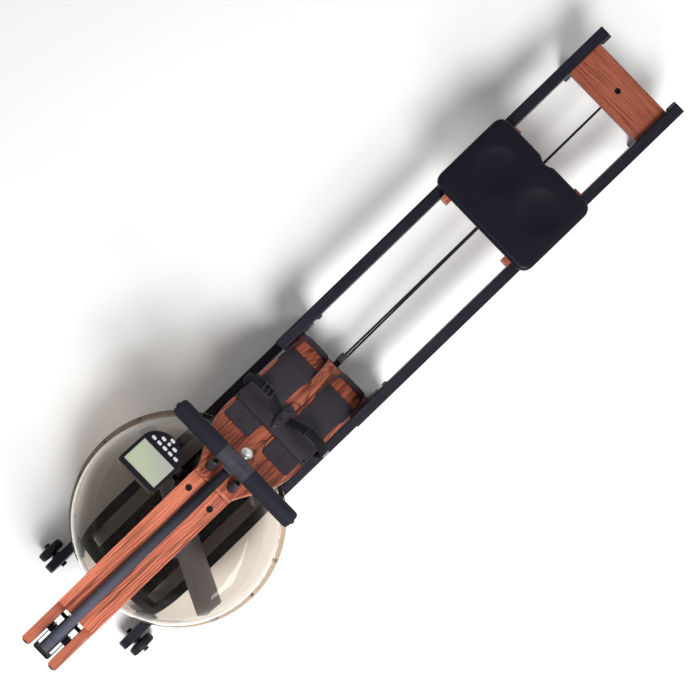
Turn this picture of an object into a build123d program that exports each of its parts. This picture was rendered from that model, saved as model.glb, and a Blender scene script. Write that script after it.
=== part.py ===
from build123d import *
import math
import os

os.makedirs("parts", exist_ok=True)

# A water rowing machine. Sizes are in millimetres, angles in degrees. +X runs from the tank end
# to the seat end, +Y is the rower's right, +Z is up. The origin is on the floor, in the middle.

# Clearances
moving_gap = 0.3        # between pieces that move past each other
running_play = 0.05     # radial play of a turning shaft in its bore
bolt_play = 0.2         # radial play of a fixed bolt, pin or axle in its hole

# Seat rails and their stops
rail_start = -125
rail_end = 1060
rail_width = 30
rail_depth = 75
rail_top = 270
rail_spacing = 250      # between the inner faces
rail_round = 3
stop_height = 24
stop_depth = 7
front_stop_start = -8
front_stop_length = 22
rear_stop_length = 26
stop_chamfer = 5

# Rear spacer and legs
spacer_start = 925
spacer_length = 109
spacer_thickness = 24
spacer_drop = 25        # the spacer's top lies this far under the rails' top
rear_leg_start = 945
rear_leg_end = 1045
rear_foot_start = 975
rear_foot_end = 1040
rear_leg_hollow = 10    # how far the leg's edges curve in
rear_pad_height = 12

# Lower beams, front legs and cross members
beam_front = -1034
beam_rear = -20
beam_top = 100
beam_bottom = 20
beam_thickness = 26
beam_overhang = 6       # past the rails' outer faces
beam_nose_radius = 36
beam_pad_length = 70
beam_pad_width = 22
front_pad_x = -890
rear_pad_x = -75
cross_thickness = 30
cross_height = 56
foot_cross_length = 42
shelf_width = 190
shelf_thickness = 20

# Transport wheels
wheel_x = -997
wheel_height = 45
wheel_radius = 36.5
wheel_width = 24
wheel_hub_radius = 13
wheel_hub_length = 8
wheel_axle_radius = 5
wheel_washer = 6

# Tank and paddle
tank_x = -636
tank_bottom = 116
tank_top = 385
tank_rim_radius = 287
tank_side_radius = 275
tank_floor_radius = 205
tank_roof_radius = 190
tank_wall = 3.5
tank_seam_height = 235
seam_gap = 2
flange_thickness = 5
seam_ring_width = 8
tank_screw_count = 16
tank_screw_radius = 2
shaft_radius = 8
shaft_top = 446
bearing_radius = 14
bearing_flange = 20
bearing_flange_height = 3
lower_bearing_height = 14
paddle_angle = 65       # from +X towards +Y
paddle_reach = 255
paddle_hub_radius = 26
paddle_low = 190
paddle_high = 300
paddle_rake = 37        # how far a blade leans over its height
paddle_lip = 25
paddle_thickness = 4

# Drum over the tank
drum_bottom = 390
drum_flange = 2.5
recoil_groove = 16
drive_groove = 26
drum_radius = 70
drum_middle_radius = 66
drum_low_radius = 62
drive_core_radius = 53
recoil_core_radius = 49
drum_wound_layer = 3.7  # thickness of the straps wound on the drum

# Arms, deck and struts
board_thickness = 26.5
board_inner = 31.5
arm_tip = -1052
arm_top = 482
arm_bottom = 440
nose_bottom = 392
nose_start = -935
nose_end = -860
nose_round = 20
deck_front = -921
deck_thickness = 23
deck_width = 116
joint_x = -465          # where the deck and arms meet the footboard and struts
joint_groove = 4
strut_depth = 45
bumper_radius = 9.5
bumper_length = 8
bumper_height = 460
deck_bolt_x = -506
deck_bolt_y = 36

# Footboard
neck_x = -457           # where the slope starts
footboard_tilt = 40.5
footboard_length = 524
footboard_thickness = 20
footboard_width = 242
neck_straight = 40
shoulder = 220
footboard_corner = 12

# Foot rests, measured down the slope from the neck
foot_centre = 68
plate_start = 161
plate_length = 62
plate_width = 88
plate_thickness = 5
plate_corner = 8
flap_start = 219
flap_length = 38
flap_thickness = 3
flap_rise = 13
slider_start = 293
slider_end = 511
slider_width = 86
slider_thickness = 5
cup_start = 414
cup_width = 92
cup_height = 25
cup_wall = 9
cup_corner = 22
window_start = 448
window_end = 490
webbing_width = 25
webbing_thickness = 2.4
webbing_start = 263
webbing_rise = 42
webbing_reach = 143
buckle_length = 16
buckle_wall = 3
clamp_start = 225
clamp_length = 89
clamp_width = 32
clamp_height = 12
clamp_plate_start = 289
clamp_plate_length = 26
clamp_plate_width = 46
rest_place = 27
rest_spacing = 74
rest_height = 36
rest_base_radius = 13
rest_tip_radius = 9.5

# Handle
handle_x = -384
handle_height = 515
handle_length = 396
handle_radius = 22
handle_nub_radius = 6
handle_nub_length = 4
sleeve_length = 90
sleeve_thickness = 1.8
tongue_reach = 28       # from the handle's axis to the strap's end
tongue_width = 27
tongue_height = 12

# Drive strap and front pulley
strap_width = 25
strap_thickness = 2
pulley_x = -988
pulley_height = 468
pulley_radius = 51
pulley_width = 33
pulley_groove_radius = 46.7
pulley_lip = 3
pulley_hub_radius = 14
axle_radius = 6
guard_width = 51
guard_sheet = 2.5
guard_low = 450
guard_high = 486
guard_reach = -976
keeper_x = -968
keeper_height = 407
keeper_radius = 5

# Recoil strap, pulleys and the elastic cord
recoil_width = 15
recoil_thickness = 1.6
cord_side = 4           # the cord runs this far to the right of the middle
guide_radius = 20
guide_groove_radius = 15.7
guide_width = 20
guide_lip = 1.8
guide_axle_radius = 4
upper_guide_x = -372
upper_guide_z = 372
lower_guide_x = -112
lower_guide_z = 144
clip_start = -44
clip_length = 26
clip_width = 20
clip_height = 10
cord_radius = 4
rear_pulley_x = 980
rear_pulley_z = 194
rear_pulley_radius = 22
rear_pulley_groove = 13.7
rear_pulley_width = 14
hanger_sheet = 3
hanger_width = 24
cord_anchor_z = 82
cord_anchor_side = -4

# Monitor
monitor_x = -504
monitor_y = 141
monitor_height = 552
monitor_tilt = 25
monitor_length = 130
monitor_width = 117
monitor_thickness = 26
monitor_round_start = 15
monitor_corner = 8
monitor_edge = 3
screen_length = 66
screen_width = 99
screen_place = -19
screen_depth = 1.5
key_length = 13
key_width = 7.5
round_key_diameter = 9
key_pocket = 4.3
key_stand = 1.5
key_travel = 1
key_pitch = 18
key_rows = (31.3, 45.6, 57.4)
lug_place = 20
lug_drop = 12
lug_width = 16
lug_radius = 8
hinge_pin_radius = 3
bracket_width = 22
bracket_sheet = 5
bracket_bar_z = 488
bracket_ear_radius = 10

# Seat
seat_start = 452
seat_length = 245
seat_width = 336
seat_bottom = 312
seat_thickness = 25
seat_corner = 28
seat_edge = 8
seat_hollow_depth = 6
seat_hollow_radius = 62
seat_hollow_side = 74
seat_notch_radius = 30
seat_notch_depth = 9
carriage_plate = 6
carriage_plate_length = 210
carriage_plate_width = 256
runner_start = 442
runner_length = 265
runner_depth = 54
runner_thickness = 22
runner_gap = 3          # between a runner and the rail beside it
runner_round = 18
roller_radius = 18.7
roller_width = 24
roller_spread = 150     # between the front and rear axles
seat_axle_radius = 4

# Socket-head bolts
bolt_radius = 4
bolt_head_radius = 7.5
bolt_head_height = 8
bolt_socket = 3.5
bolt_socket_depth = 4
recess_radius = 8.5
recess_depth = 10

# Worked out from the sizes above
rail_inner = rail_spacing / 2
rail_outer = rail_inner + rail_width
rail_middle = rail_inner + rail_width / 2
rail_bottom = rail_top - rail_depth
spacer_top = rail_top - spacer_drop
spacer_bottom = spacer_top - spacer_thickness
beam_outer = rail_outer + beam_overhang
beam_inner = beam_outer - beam_thickness
board_outer = board_inner + board_thickness
deck_top = arm_top + deck_thickness
front_cross_x = tank_x - (tank_rim_radius - cross_thickness / 2)
rear_cross_x = tank_x + (tank_rim_radius - cross_thickness / 2)
cross_top = tank_bottom
lower_flange = tank_seam_height - seam_gap / 2 - flange_thickness
upper_flange = tank_seam_height + seam_gap / 2 + flange_thickness
recoil_low = drum_bottom + drum_flange
drive_low = recoil_low + recoil_groove + drum_flange
drum_top = drive_low + drive_groove + drum_flange
drive_height = drive_low + drive_groove / 2
recoil_height = recoil_low + recoil_groove / 2
drive_line_radius = drive_core_radius + moving_gap + drum_wound_layer - strap_thickness / 2
recoil_line_radius = recoil_core_radius + moving_gap + drum_wound_layer - recoil_thickness / 2
strap_line_radius = pulley_groove_radius + moving_gap + strap_thickness / 2
guide_line_radius = guide_groove_radius + moving_gap + recoil_thickness / 2
cord_line_radius = rear_pulley_groove + moving_gap + cord_radius
slope = math.radians(footboard_tilt)


def upright(y):
    """The XZ plane at this Y. Extruding by a negative amount goes towards +Y."""
    return Plane.XZ.offset(-y)


def on_board(d, w, h):
    """A point of the footboard: d down the slope, w to the right, h above the surface."""
    x = neck_x + d * math.cos(slope) + h * math.sin(slope)
    z = deck_top - d * math.sin(slope) + h * math.cos(slope)
    return Vector(x, w, z)


def board_plane(d=0, w=0, h=0):
    """Parallel to the footboard: local x down the slope, local y to the right."""
    return Plane(
        origin=on_board(d, w, h),
        x_dir=(math.cos(slope), 0, -math.sin(slope)),
        z_dir=(math.sin(slope), 0, math.cos(slope)),
    )


board_axis = Axis((0, 0, 0), board_plane().z_dir)


def across_board(d, w=0):
    """Square to the slope: local x to the right, local y away from the surface."""
    return Plane(
        origin=on_board(d, w, 0),
        x_dir=(0, 1, 0),
        z_dir=(math.cos(slope), 0, -math.sin(slope)),
    )


def block(x0, x1, y0, y1, z0, z1, mode=Mode.ADD):
    """A rectangular solid between these limits."""
    with Locations(((x0 + x1) / 2, (y0 + y1) / 2, (z0 + z1) / 2)):
        Box(x1 - x0, y1 - y0, z1 - z0, mode=mode)


def disc_along_y(x, z, radius, y0, y1, mode=Mode.ADD):
    """A round piece or hole along Y between y0 and y1."""
    with BuildSketch(upright(y0)) as disc:
        with Locations((x, z)):
            Circle(radius)
    extrude(disc.sketch, amount=-(y1 - y0), mode=mode)


def disc_along_z(x, y, radius, z0, z1, mode=Mode.ADD):
    """A round piece or hole along Z between z0 and z1."""
    with BuildSketch(Plane.XY.offset(z0)) as disc:
        with Locations((x, y)):
            Circle(radius)
    extrude(disc.sketch, amount=z1 - z0, mode=mode)


def add_bolt(plane, shank):
    """A socket-head bolt: the plane is under its head, and the shank goes against the normal."""
    with BuildSketch(plane) as head:
        Circle(bolt_head_radius)
    extrude(head.sketch, amount=bolt_head_height)
    with BuildSketch(plane.offset(bolt_head_height)) as socket:
        RegularPolygon(bolt_socket, 6)
    extrude(socket.sketch, amount=-bolt_socket_depth, mode=Mode.SUBTRACT)
    with BuildSketch(plane) as stem:
        Circle(bolt_radius)
    extrude(stem.sketch, amount=-shank)


def cut_bolt(plane, shank):
    """The recess and hole that add_bolt's bolt sits in."""
    with BuildSketch(plane) as recess:
        Circle(recess_radius)
    extrude(recess.sketch, amount=recess_depth + rail_width, mode=Mode.SUBTRACT)
    with BuildSketch(plane) as hole:
        Circle(bolt_radius + bolt_play)
    extrude(hole.sketch, amount=-(shank + bolt_play), mode=Mode.SUBTRACT)


def side_bolt_plane(x, z, outer, side):
    """Under the head of a bolt that goes in from an outer face along Y."""
    return Plane(
        origin=(x, side * (outer - recess_depth), z), x_dir=(1, 0, 0), z_dir=(0, side, 0)
    )


def save(builder, label):
    """Labels a finished piece and writes its file."""
    builder.part.label = label
    export_step(builder.part, f"parts/{label}.step")


def save_group(label, *builders):
    """Writes several touching pieces as separate solids of one node."""
    group = Compound(label=label, children=[builder.part for builder in builders])
    export_step(group, f"parts/{label}.step")


# Bolt places: the head's plane and the shank's length
spacer_bolt_z = (spacer_top + spacer_bottom) / 2
spacer_bolt_xs = (spacer_start + spacer_length * 0.25, spacer_start + spacer_length * 0.75)
spacer_bolt_length = 60
cross_bolt_z = cross_top - cross_height / 2 - 8
cross_bolt_length = 55
foot_cross_x = on_board(footboard_length, 0, 0).X - foot_cross_length / 2
cross_bolt_places = (
    (front_cross_x, cross_bolt_z),
    (rear_cross_x, cross_bolt_z),
    (foot_cross_x, cord_anchor_z),
)
deck_bolt_length = 45


def deck_bolt_plane(side):
    """Under the head of a deck bolt."""
    return Plane.XY.offset(deck_top - recess_depth).shift_origin(
        (deck_bolt_x, side * deck_bolt_y, deck_top - recess_depth)
    )


hanger_bolt_plane = Plane(
    origin=(rear_pulley_x, cord_side, spacer_top - recess_depth), x_dir=(1, 0, 0), z_dir=(0, 0, 1)
)
hanger_bolt_length = spacer_thickness - recess_depth + hanger_sheet


# Seat rails
def make_rail(side):
    """One seat rail, with the recesses of the spacer's bolts on its outer face."""
    with BuildPart() as rail:
        with BuildSketch(upright(side * rail_inner)):
            with Locations(((rail_start + rail_end) / 2, (rail_top + rail_bottom) / 2)):
                Rectangle(rail_end - rail_start, rail_depth)
        extrude(amount=-side * rail_width)
        fillet(rail.edges().filter_by(Axis.X), rail_round)
        fillet(rail.faces().sort_by(Axis.X)[-1].edges(), rail_round / 2)
        for x in spacer_bolt_xs:
            cut_bolt(side_bolt_plane(x, spacer_bolt_z, rail_outer, side), spacer_bolt_length)
    return rail


save(make_rail(1), "rail_right")
save(make_rail(-1), "rail_left")

# Seat stops on the rails' inner faces: two at the front, two longer ones at the rear
with BuildPart() as seat_stops:
    stop_inner = rail_inner - stop_depth
    with BuildSketch(Plane.XY.offset(rail_top - stop_height)):
        with BuildLine():
            Polyline(
                (front_stop_start, rail_inner),
                (front_stop_start + stop_chamfer, stop_inner),
                (front_stop_start + front_stop_length - stop_chamfer, stop_inner),
                (front_stop_start + front_stop_length, rail_inner),
                close=True,
            )
        make_face()
        with BuildLine():
            Polyline(
                (rail_end - rear_stop_length, rail_inner),
                (rail_end - rear_stop_length, stop_inner + stop_depth / 2),
                (rail_end - rear_stop_length + stop_chamfer, stop_inner),
                (rail_end, stop_inner),
                (rail_end, rail_inner),
                close=True,
            )
        make_face()
    extrude(amount=stop_height - rail_round)
    mirror(about=Plane.XZ)
save(seat_stops, "seat_stops")

# Spacer plank between the rails
with BuildPart() as rear_spacer:
    block(
        spacer_start, spacer_start + spacer_length, -rail_inner, rail_inner, spacer_bottom, spacer_top
    )
    fillet(rear_spacer.edges().filter_by(Axis.Y), rail_round)
    for side in (-1, 1):
        for x in spacer_bolt_xs:
            cut_bolt(side_bolt_plane(x, spacer_bolt_z, rail_outer, side), spacer_bolt_length)
    cut_bolt(hanger_bolt_plane, hanger_bolt_length)
save(rear_spacer, "rear_spacer")

# Legs: straight ones over the beams, curved ones under the rails' rear ends
with BuildPart() as legs:
    block(rail_start, beam_rear, rail_inner, rail_outer, beam_top, rail_bottom)
    with BuildSketch(upright(rail_inner)):
        with BuildLine():
            leg_middle = (rail_bottom + rear_pad_height) / 2
            Line((rear_leg_start, rail_bottom), (rear_leg_end, rail_bottom))
            ThreePointArc(
                (rear_leg_end, rail_bottom),
                ((rear_leg_end + rear_foot_end) / 2 - rear_leg_hollow / 2, leg_middle),
                (rear_foot_end, rear_pad_height),
            )
            Line((rear_foot_end, rear_pad_height), (rear_foot_start, rear_pad_height))
            ThreePointArc(
                (rear_foot_start, rear_pad_height),
                ((rear_leg_start + rear_foot_start) / 2 + rear_leg_hollow, leg_middle),
                (rear_leg_start, rail_bottom),
            )
        make_face()
    extrude(amount=-rail_width)
    mirror(about=Plane.XZ)
save(legs, "legs")

# Rubber pads under the legs and beams, and bumpers on the arms' tips
with BuildPart() as rubber_feet:
    block(rear_foot_start, rear_foot_end, rail_inner, rail_outer, 0, rear_pad_height)
    beam_middle = (beam_inner + beam_outer) / 2
    for x in (front_pad_x, rear_pad_x):
        block(
            x - beam_pad_length / 2,
            x + beam_pad_length / 2,
            beam_middle - beam_pad_width / 2,
            beam_middle + beam_pad_width / 2,
            0,
            beam_bottom,
        )
    with BuildSketch(Plane.YZ.offset(arm_tip)):
        with Locations(((board_inner + board_outer) / 2, bumper_height)):
            Circle(bumper_radius)
    extrude(amount=-bumper_length)
    mirror(about=Plane.XZ)
save(rubber_feet, "rubber_feet")


# Lower beams
def make_beam(side):
    """One lower beam, with its rounded nose, the wheel's bolt hole and the cross members' bolts."""
    with BuildPart() as beam:
        with BuildSketch(upright(side * beam_inner)) as profile:
            with Locations(((beam_front + beam_rear) / 2, (beam_top + beam_bottom) / 2)):
                Rectangle(beam_rear - beam_front, beam_top - beam_bottom)
            nose = profile.vertices().group_by(Axis.X)[0]
            fillet(nose, beam_nose_radius)
        extrude(amount=-side * beam_thickness)
        fillet(beam.faces().sort_by(Axis.Z)[-1].edges().filter_by(Axis.X), rail_round)
        disc_along_y(
            wheel_x,
            wheel_height,
            wheel_axle_radius + bolt_play,
            side * (beam_inner - 1),
            side * (beam_outer + 1),
            Mode.SUBTRACT,
        )
        for x, z in cross_bolt_places:
            cut_bolt(side_bolt_plane(x, z, beam_outer, side), cross_bolt_length)
    return beam


save(make_beam(1), "beam_right")
save(make_beam(-1), "beam_left")


# Cross members between the beams, and the shelf that the tank stands on
def make_cross(x, length, top, bolt_z):
    """A plank across, between the beams."""
    with BuildPart() as plank:
        block(x - length / 2, x + length / 2, -beam_inner, beam_inner, top - cross_height, top)
        for side in (-1, 1):
            cut_bolt(side_bolt_plane(x, bolt_z, beam_outer, side), cross_bolt_length)
    return plank


with BuildPart() as tank_shelf:
    block(
        front_cross_x + cross_thickness / 2,
        rear_cross_x - cross_thickness / 2,
        -shelf_width / 2,
        shelf_width / 2,
        cross_top - shelf_thickness,
        cross_top,
    )
save_group(
    "cross_members",
    make_cross(front_cross_x, cross_thickness, cross_top, cross_bolt_z),
    make_cross(rear_cross_x, cross_thickness, cross_top, cross_bolt_z),
    make_cross(foot_cross_x, foot_cross_length, beam_top, cord_anchor_z),
    tank_shelf,
)

# Tank: a lower and an upper shell, revolved about the shaft
tank_plane = Plane(origin=(tank_x, 0, 0), x_dir=(1, 0, 0), z_dir=(0, -1, 0))
tank_axis = Axis((tank_x, 0, 0), (0, 0, 1))
tank_screw_circle = (tank_side_radius + tank_rim_radius) / 2

with BuildPart() as tank_lower_shell:
    with BuildSketch(tank_plane):
        with BuildLine():
            rise = lower_flange - tank_bottom
            run = tank_side_radius - tank_floor_radius
            seat_z = tank_bottom + tank_wall
            Line((0, tank_bottom), (tank_floor_radius, tank_bottom))
            EllipticalCenterArc((tank_floor_radius, lower_flange), run, rise, -90, arc_size=90)
            Polyline(
                (tank_side_radius, lower_flange),
                (tank_rim_radius, lower_flange),
                (tank_rim_radius, lower_flange + flange_thickness),
                (tank_side_radius - tank_wall, lower_flange + flange_thickness),
                (tank_side_radius - tank_wall, lower_flange),
            )
            EllipticalCenterArc(
                (tank_floor_radius, lower_flange), run - tank_wall, rise - tank_wall, -90, arc_size=90
            )
            Polyline((tank_floor_radius, seat_z), (0, seat_z), (0, tank_bottom))
        make_face()
    revolve(axis=tank_axis)
    with BuildSketch(Plane.XY.offset(lower_flange)):
        with Locations((tank_x, 0)):
            with PolarLocations(tank_screw_circle, tank_screw_count):
                Circle(tank_screw_radius + bolt_play)
    extrude(amount=flange_thickness, mode=Mode.SUBTRACT)
save(tank_lower_shell, "tank_lower_shell")

with BuildPart() as tank_upper_shell:
    with BuildSketch(tank_plane):
        with BuildLine():
            rise = tank_top - upper_flange
            run = tank_side_radius - tank_roof_radius
            hole = bearing_radius + bolt_play
            Line((hole, tank_top), (tank_roof_radius, tank_top))
            EllipticalCenterArc((tank_roof_radius, upper_flange), run, rise, 0, arc_size=90)
            Polyline(
                (tank_side_radius, upper_flange),
                (tank_rim_radius, upper_flange),
                (tank_rim_radius, upper_flange - flange_thickness),
                (tank_side_radius - tank_wall, upper_flange - flange_thickness),
                (tank_side_radius - tank_wall, upper_flange),
            )
            EllipticalCenterArc(
                (tank_roof_radius, upper_flange), run - tank_wall, rise - tank_wall, 0, arc_size=90
            )
            Polyline(
                (tank_roof_radius, tank_top - tank_wall), (hole, tank_top - tank_wall), (hole, tank_top)
            )
        make_face()
    revolve(axis=tank_axis)
    with BuildSketch(Plane.XY.offset(upper_flange)):
        with Locations((tank_x, 0)):
            with PolarLocations(tank_screw_circle, tank_screw_count):
                Circle(tank_screw_radius + bolt_play)
    extrude(amount=-flange_thickness, mode=Mode.SUBTRACT)
save(tank_upper_shell, "tank_upper_shell")

# Seal between the flanges
with BuildPart() as tank_seam_ring:
    with BuildSketch(Plane.XY.offset(tank_seam_height - seam_gap / 2)):
        with Locations((tank_x, 0)):
            Circle(tank_rim_radius)
            Circle(tank_rim_radius - seam_ring_width - flange_thickness, mode=Mode.SUBTRACT)
            with PolarLocations(tank_screw_circle, tank_screw_count):
                Circle(tank_screw_radius + bolt_play, mode=Mode.SUBTRACT)
    extrude(amount=seam_gap)
save(tank_seam_ring, "tank_seam_ring")

# Screws through the flanges, with their nuts
screw_head_height = 3
screw_head_radius = 4
with BuildPart() as tank_screws:
    with BuildSketch(Plane.XY.offset(upper_flange)):
        with Locations((tank_x, 0)):
            with PolarLocations(tank_screw_circle, tank_screw_count):
                RegularPolygon(screw_head_radius, 6)
    extrude(amount=screw_head_height)
    with BuildSketch(Plane.XY.offset(lower_flange)):
        with Locations((tank_x, 0)):
            with PolarLocations(tank_screw_circle, tank_screw_count):
                RegularPolygon(screw_head_radius, 6)
    extrude(amount=-screw_head_height)
    with BuildSketch(Plane.XY.offset(lower_flange)):
        with Locations((tank_x, 0)):
            with PolarLocations(tank_screw_circle, tank_screw_count):
                Circle(tank_screw_radius)
    extrude(amount=upper_flange - lower_flange)
save(tank_screws, "tank_screws")

# Shaft bearings: a cup on the tank's floor and a flanged bush in its roof
with BuildPart() as tank_bearings:
    bore = shaft_radius + running_play
    with BuildSketch(tank_plane):
        with BuildLine():
            Polyline(
                (bore, seat_z),
                (bearing_flange, seat_z),
                (bearing_radius, seat_z + lower_bearing_height),
                (bore, seat_z + lower_bearing_height),
                close=True,
            )
        make_face()
        with BuildLine():
            Polyline(
                (bore, tank_top - lower_bearing_height),
                (bearing_radius, tank_top - lower_bearing_height),
                (bearing_radius, tank_top),
                (bearing_flange, tank_top),
                (bearing_flange, tank_top + bearing_flange_height - moving_gap),
                (bore, tank_top + bearing_flange_height - moving_gap),
                close=True,
            )
        make_face()
    revolve(axis=tank_axis)
save(tank_bearings, "tank_bearings")

# Paddle: two raked blades with a lip, half a turn apart, on a hub that the shaft goes through
with BuildPart() as shaft:
    disc_along_z(tank_x, 0, shaft_radius, seat_z + 1, shaft_top)
    disc_along_z(tank_x, 0, shaft_radius + 4, drum_top + moving_gap, shaft_top)

with BuildPart() as paddle:
    disc_along_z(tank_x, 0, paddle_hub_radius, paddle_low, paddle_high)
    for turn in (0, 180):
        heading = math.radians(paddle_angle + turn)
        outward = Vector(math.cos(heading), math.sin(heading), 0)
        start = Vector(tank_x, 0, 0) + outward * (paddle_hub_radius / 2)
        blade_plane = Plane(origin=start, x_dir=outward.cross(Vector(0, 0, 1)), z_dir=outward)
        lean = (paddle_rake + paddle_lip) / 2
        up = blade_plane.y_dir.Z
        with BuildSketch(blade_plane):
            with BuildLine():
                FilletPolyline(
                    (-lean, up * (paddle_low + paddle_thickness)),
                    (paddle_rake - lean, up * (paddle_high - paddle_thickness)),
                    (lean, up * (paddle_high - paddle_thickness)),
                    radius=paddle_thickness,
                )
            trace(line_width=paddle_thickness)
        extrude(amount=paddle_reach - paddle_hub_radius / 2)
    disc_along_z(tank_x, 0, shaft_radius + bolt_play, paddle_low - 10, paddle_high + 10, Mode.SUBTRACT)
save_group("impeller", shaft, paddle)

# Drum: a groove for the recoil strap below and one for the drive strap above
with BuildPart() as drive_drum:
    with BuildSketch(tank_plane):
        with BuildLine():
            Polyline(
                (bore, drum_bottom),
                (drum_low_radius, drum_bottom),
                (drum_low_radius, recoil_low),
                (recoil_core_radius, recoil_low),
                (recoil_core_radius, recoil_low + recoil_groove),
                (drum_middle_radius, recoil_low + recoil_groove),
                (drum_middle_radius, drive_low),
                (drive_core_radius, drive_low),
                (drive_core_radius, drive_low + drive_groove),
                (drum_radius, drive_low + drive_groove),
                (drum_radius, drum_top),
                (bore, drum_top),
                close=True,
            )
        make_face()
    revolve(axis=tank_axis)
save(drive_drum, "drive_drum")


# Arms: boards on edge with a deep nose for the front pulley
with BuildPart() as arm_boards:
    with BuildSketch(upright(board_inner)) as arm_profile:
        with BuildLine():
            Polyline(
                (joint_x, arm_bottom),
                (joint_x, arm_top),
                (arm_tip, arm_top),
                (arm_tip, nose_bottom),
                (nose_start, nose_bottom),
            )
            Bezier(
                (nose_start, nose_bottom),
                ((nose_start + nose_end) / 2, nose_bottom),
                ((nose_start + nose_end) / 2, arm_bottom),
                (nose_end, arm_bottom),
            )
            Line((nose_end, arm_bottom), (joint_x, arm_bottom))
        make_face()
        tip_corners = arm_profile.vertices().group_by(Axis.X)[0]
        fillet(tip_corners.sort_by(Axis.Z)[0], nose_round)
        fillet(tip_corners.sort_by(Axis.Z)[-1], bolt_radius)
    extrude(amount=-board_thickness)
    disc_along_y(
        pulley_x, pulley_height, axle_radius + bolt_play, board_inner, board_outer, Mode.SUBTRACT
    )
    disc_along_y(
        keeper_x, keeper_height, keeper_radius + bolt_play, board_inner, board_outer, Mode.SUBTRACT
    )
    cut_bolt(deck_bolt_plane(1), deck_bolt_length)
    mirror(about=Plane.XZ)
save(arm_boards, "arm_boards")

# Deck board on the arms
with BuildPart() as deck_board:
    block(deck_front, joint_x, -deck_width / 2, deck_width / 2, arm_top, deck_top)
    rear_edge = deck_board.faces().sort_by(Axis.X)[-1].edges().sort_by(Axis.Z)[-1]
    chamfer(rear_edge, joint_groove)
    front_edge = deck_board.faces().sort_by(Axis.X)[0].edges().sort_by(Axis.Z)[-1]
    fillet(front_edge, rail_round * 2)
    for side in (-1, 1):
        cut_bolt(deck_bolt_plane(side), deck_bolt_length)
save(deck_board, "deck_board")

# Struts under the footboard, from the arms down to the foot cross member
strut_top = -footboard_thickness
strut_low = strut_top - strut_depth
board_end_x = on_board(footboard_length, 0, strut_top).X


def slope_z(x, h):
    """The height of a line parallel to the footboard, h above it, at this X."""
    d = (x - neck_x - h * math.sin(slope)) / math.cos(slope)
    return on_board(d, 0, h).Z


def slope_x(z, h):
    """The X where a line parallel to the footboard, h above it, is at this height."""
    d = (deck_top + h * math.cos(slope) - z) / math.sin(slope)
    return on_board(d, 0, h).X


with BuildPart() as footboard_struts:
    with BuildSketch(upright(board_inner)):
        with BuildLine():
            Polyline(
                (joint_x, slope_z(joint_x, strut_top)),
                (board_end_x, slope_z(board_end_x, strut_top)),
                (board_end_x, beam_top),
                (slope_x(beam_top, strut_low), beam_top),
                (joint_x, slope_z(joint_x, strut_low)),
                close=True,
            )
        make_face()
    extrude(amount=-board_thickness)
    for x, z in ((upper_guide_x, upper_guide_z), (lower_guide_x, lower_guide_z)):
        disc_along_y(x, z, guide_axle_radius + bolt_play, board_inner, board_outer, Mode.SUBTRACT)
    mirror(about=Plane.XZ)
save(footboard_struts, "footboard_struts")

# Footboard: bottle-shaped, wide at the feet, with its neck against the deck
with BuildPart() as footboard:
    with BuildSketch(board_plane()) as outline:
        with BuildLine():
            neck = deck_width / 2
            wide = footboard_width / 2
            bend = (shoulder - neck_straight) * 0.42
            Polyline((-footboard_thickness, 0), (-footboard_thickness, neck), (neck_straight, neck))
            Bezier(
                (neck_straight, neck),
                (neck_straight + bend, neck),
                (shoulder - bend, wide),
                (shoulder, wide),
            )
            Line((shoulder, wide), (footboard_length, wide))
            Line((footboard_length, wide), (footboard_length, 0))
            mirror(about=Plane.XZ)
        make_face()
        fillet(outline.vertices().group_by(Axis.X)[-1], footboard_corner)
    extrude(amount=-footboard_thickness)
    with BuildSketch(Plane.XY.offset(deck_top)):
        with Locations((neck_x, 0)):
            Rectangle(2 * footboard_thickness, deck_width * 2)
    extrude(amount=2 * footboard_thickness, mode=Mode.SUBTRACT)
    with BuildSketch(Plane.YZ.offset(joint_x)):
        with Locations((0, deck_top)):
            Rectangle(deck_width * 2, 4 * footboard_thickness)
    extrude(amount=-2 * footboard_thickness, mode=Mode.SUBTRACT)
    joint_edge = footboard.faces().sort_by(Axis.X)[0].edges().sort_by(Axis.Z)[-1]
    chamfer(joint_edge, joint_groove)
save(footboard, "footboard")

# Upper foot plates
with BuildPart() as foot_plates:
    with BuildSketch(board_plane(plate_start + plate_length / 2)):
        with Locations((0, foot_centre), (0, -foot_centre)):
            RectangleRounded(plate_length, plate_width, plate_corner)
    extrude(amount=plate_thickness)
    chamfer(foot_plates.faces().filter_by(board_axis).sort_by(board_axis)[-2:].edges(), 1)
save(foot_plates, "foot_plates")

# Flap across both sliding plates
flap_foot = flap_thickness / 2
flap_side = footboard_width / 2 - flap_foot
with BuildPart() as foot_flap:
    with BuildSketch(across_board(flap_start)):
        with BuildLine() as flap_line:
            low = flap_foot
            step = plate_thickness + 2 * flap_thickness
            Polyline((0, low), (foot_centre - slider_width / 2 - 4, low))
            Line(flap_line.line @ 1, (foot_centre - slider_width / 2 - 1, step))
            ThreePointArc(
                flap_line.line @ 1,
                (foot_centre, flap_rise + low),
                (foot_centre + slider_width / 2 + 1, step),
            )
            Line(flap_line.line @ 1, (flap_side, low))
        trace(line_width=flap_thickness)
        mirror(about=Plane.YZ)
    extrude(amount=flap_length)
save(foot_flap, "foot_flap")

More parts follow.
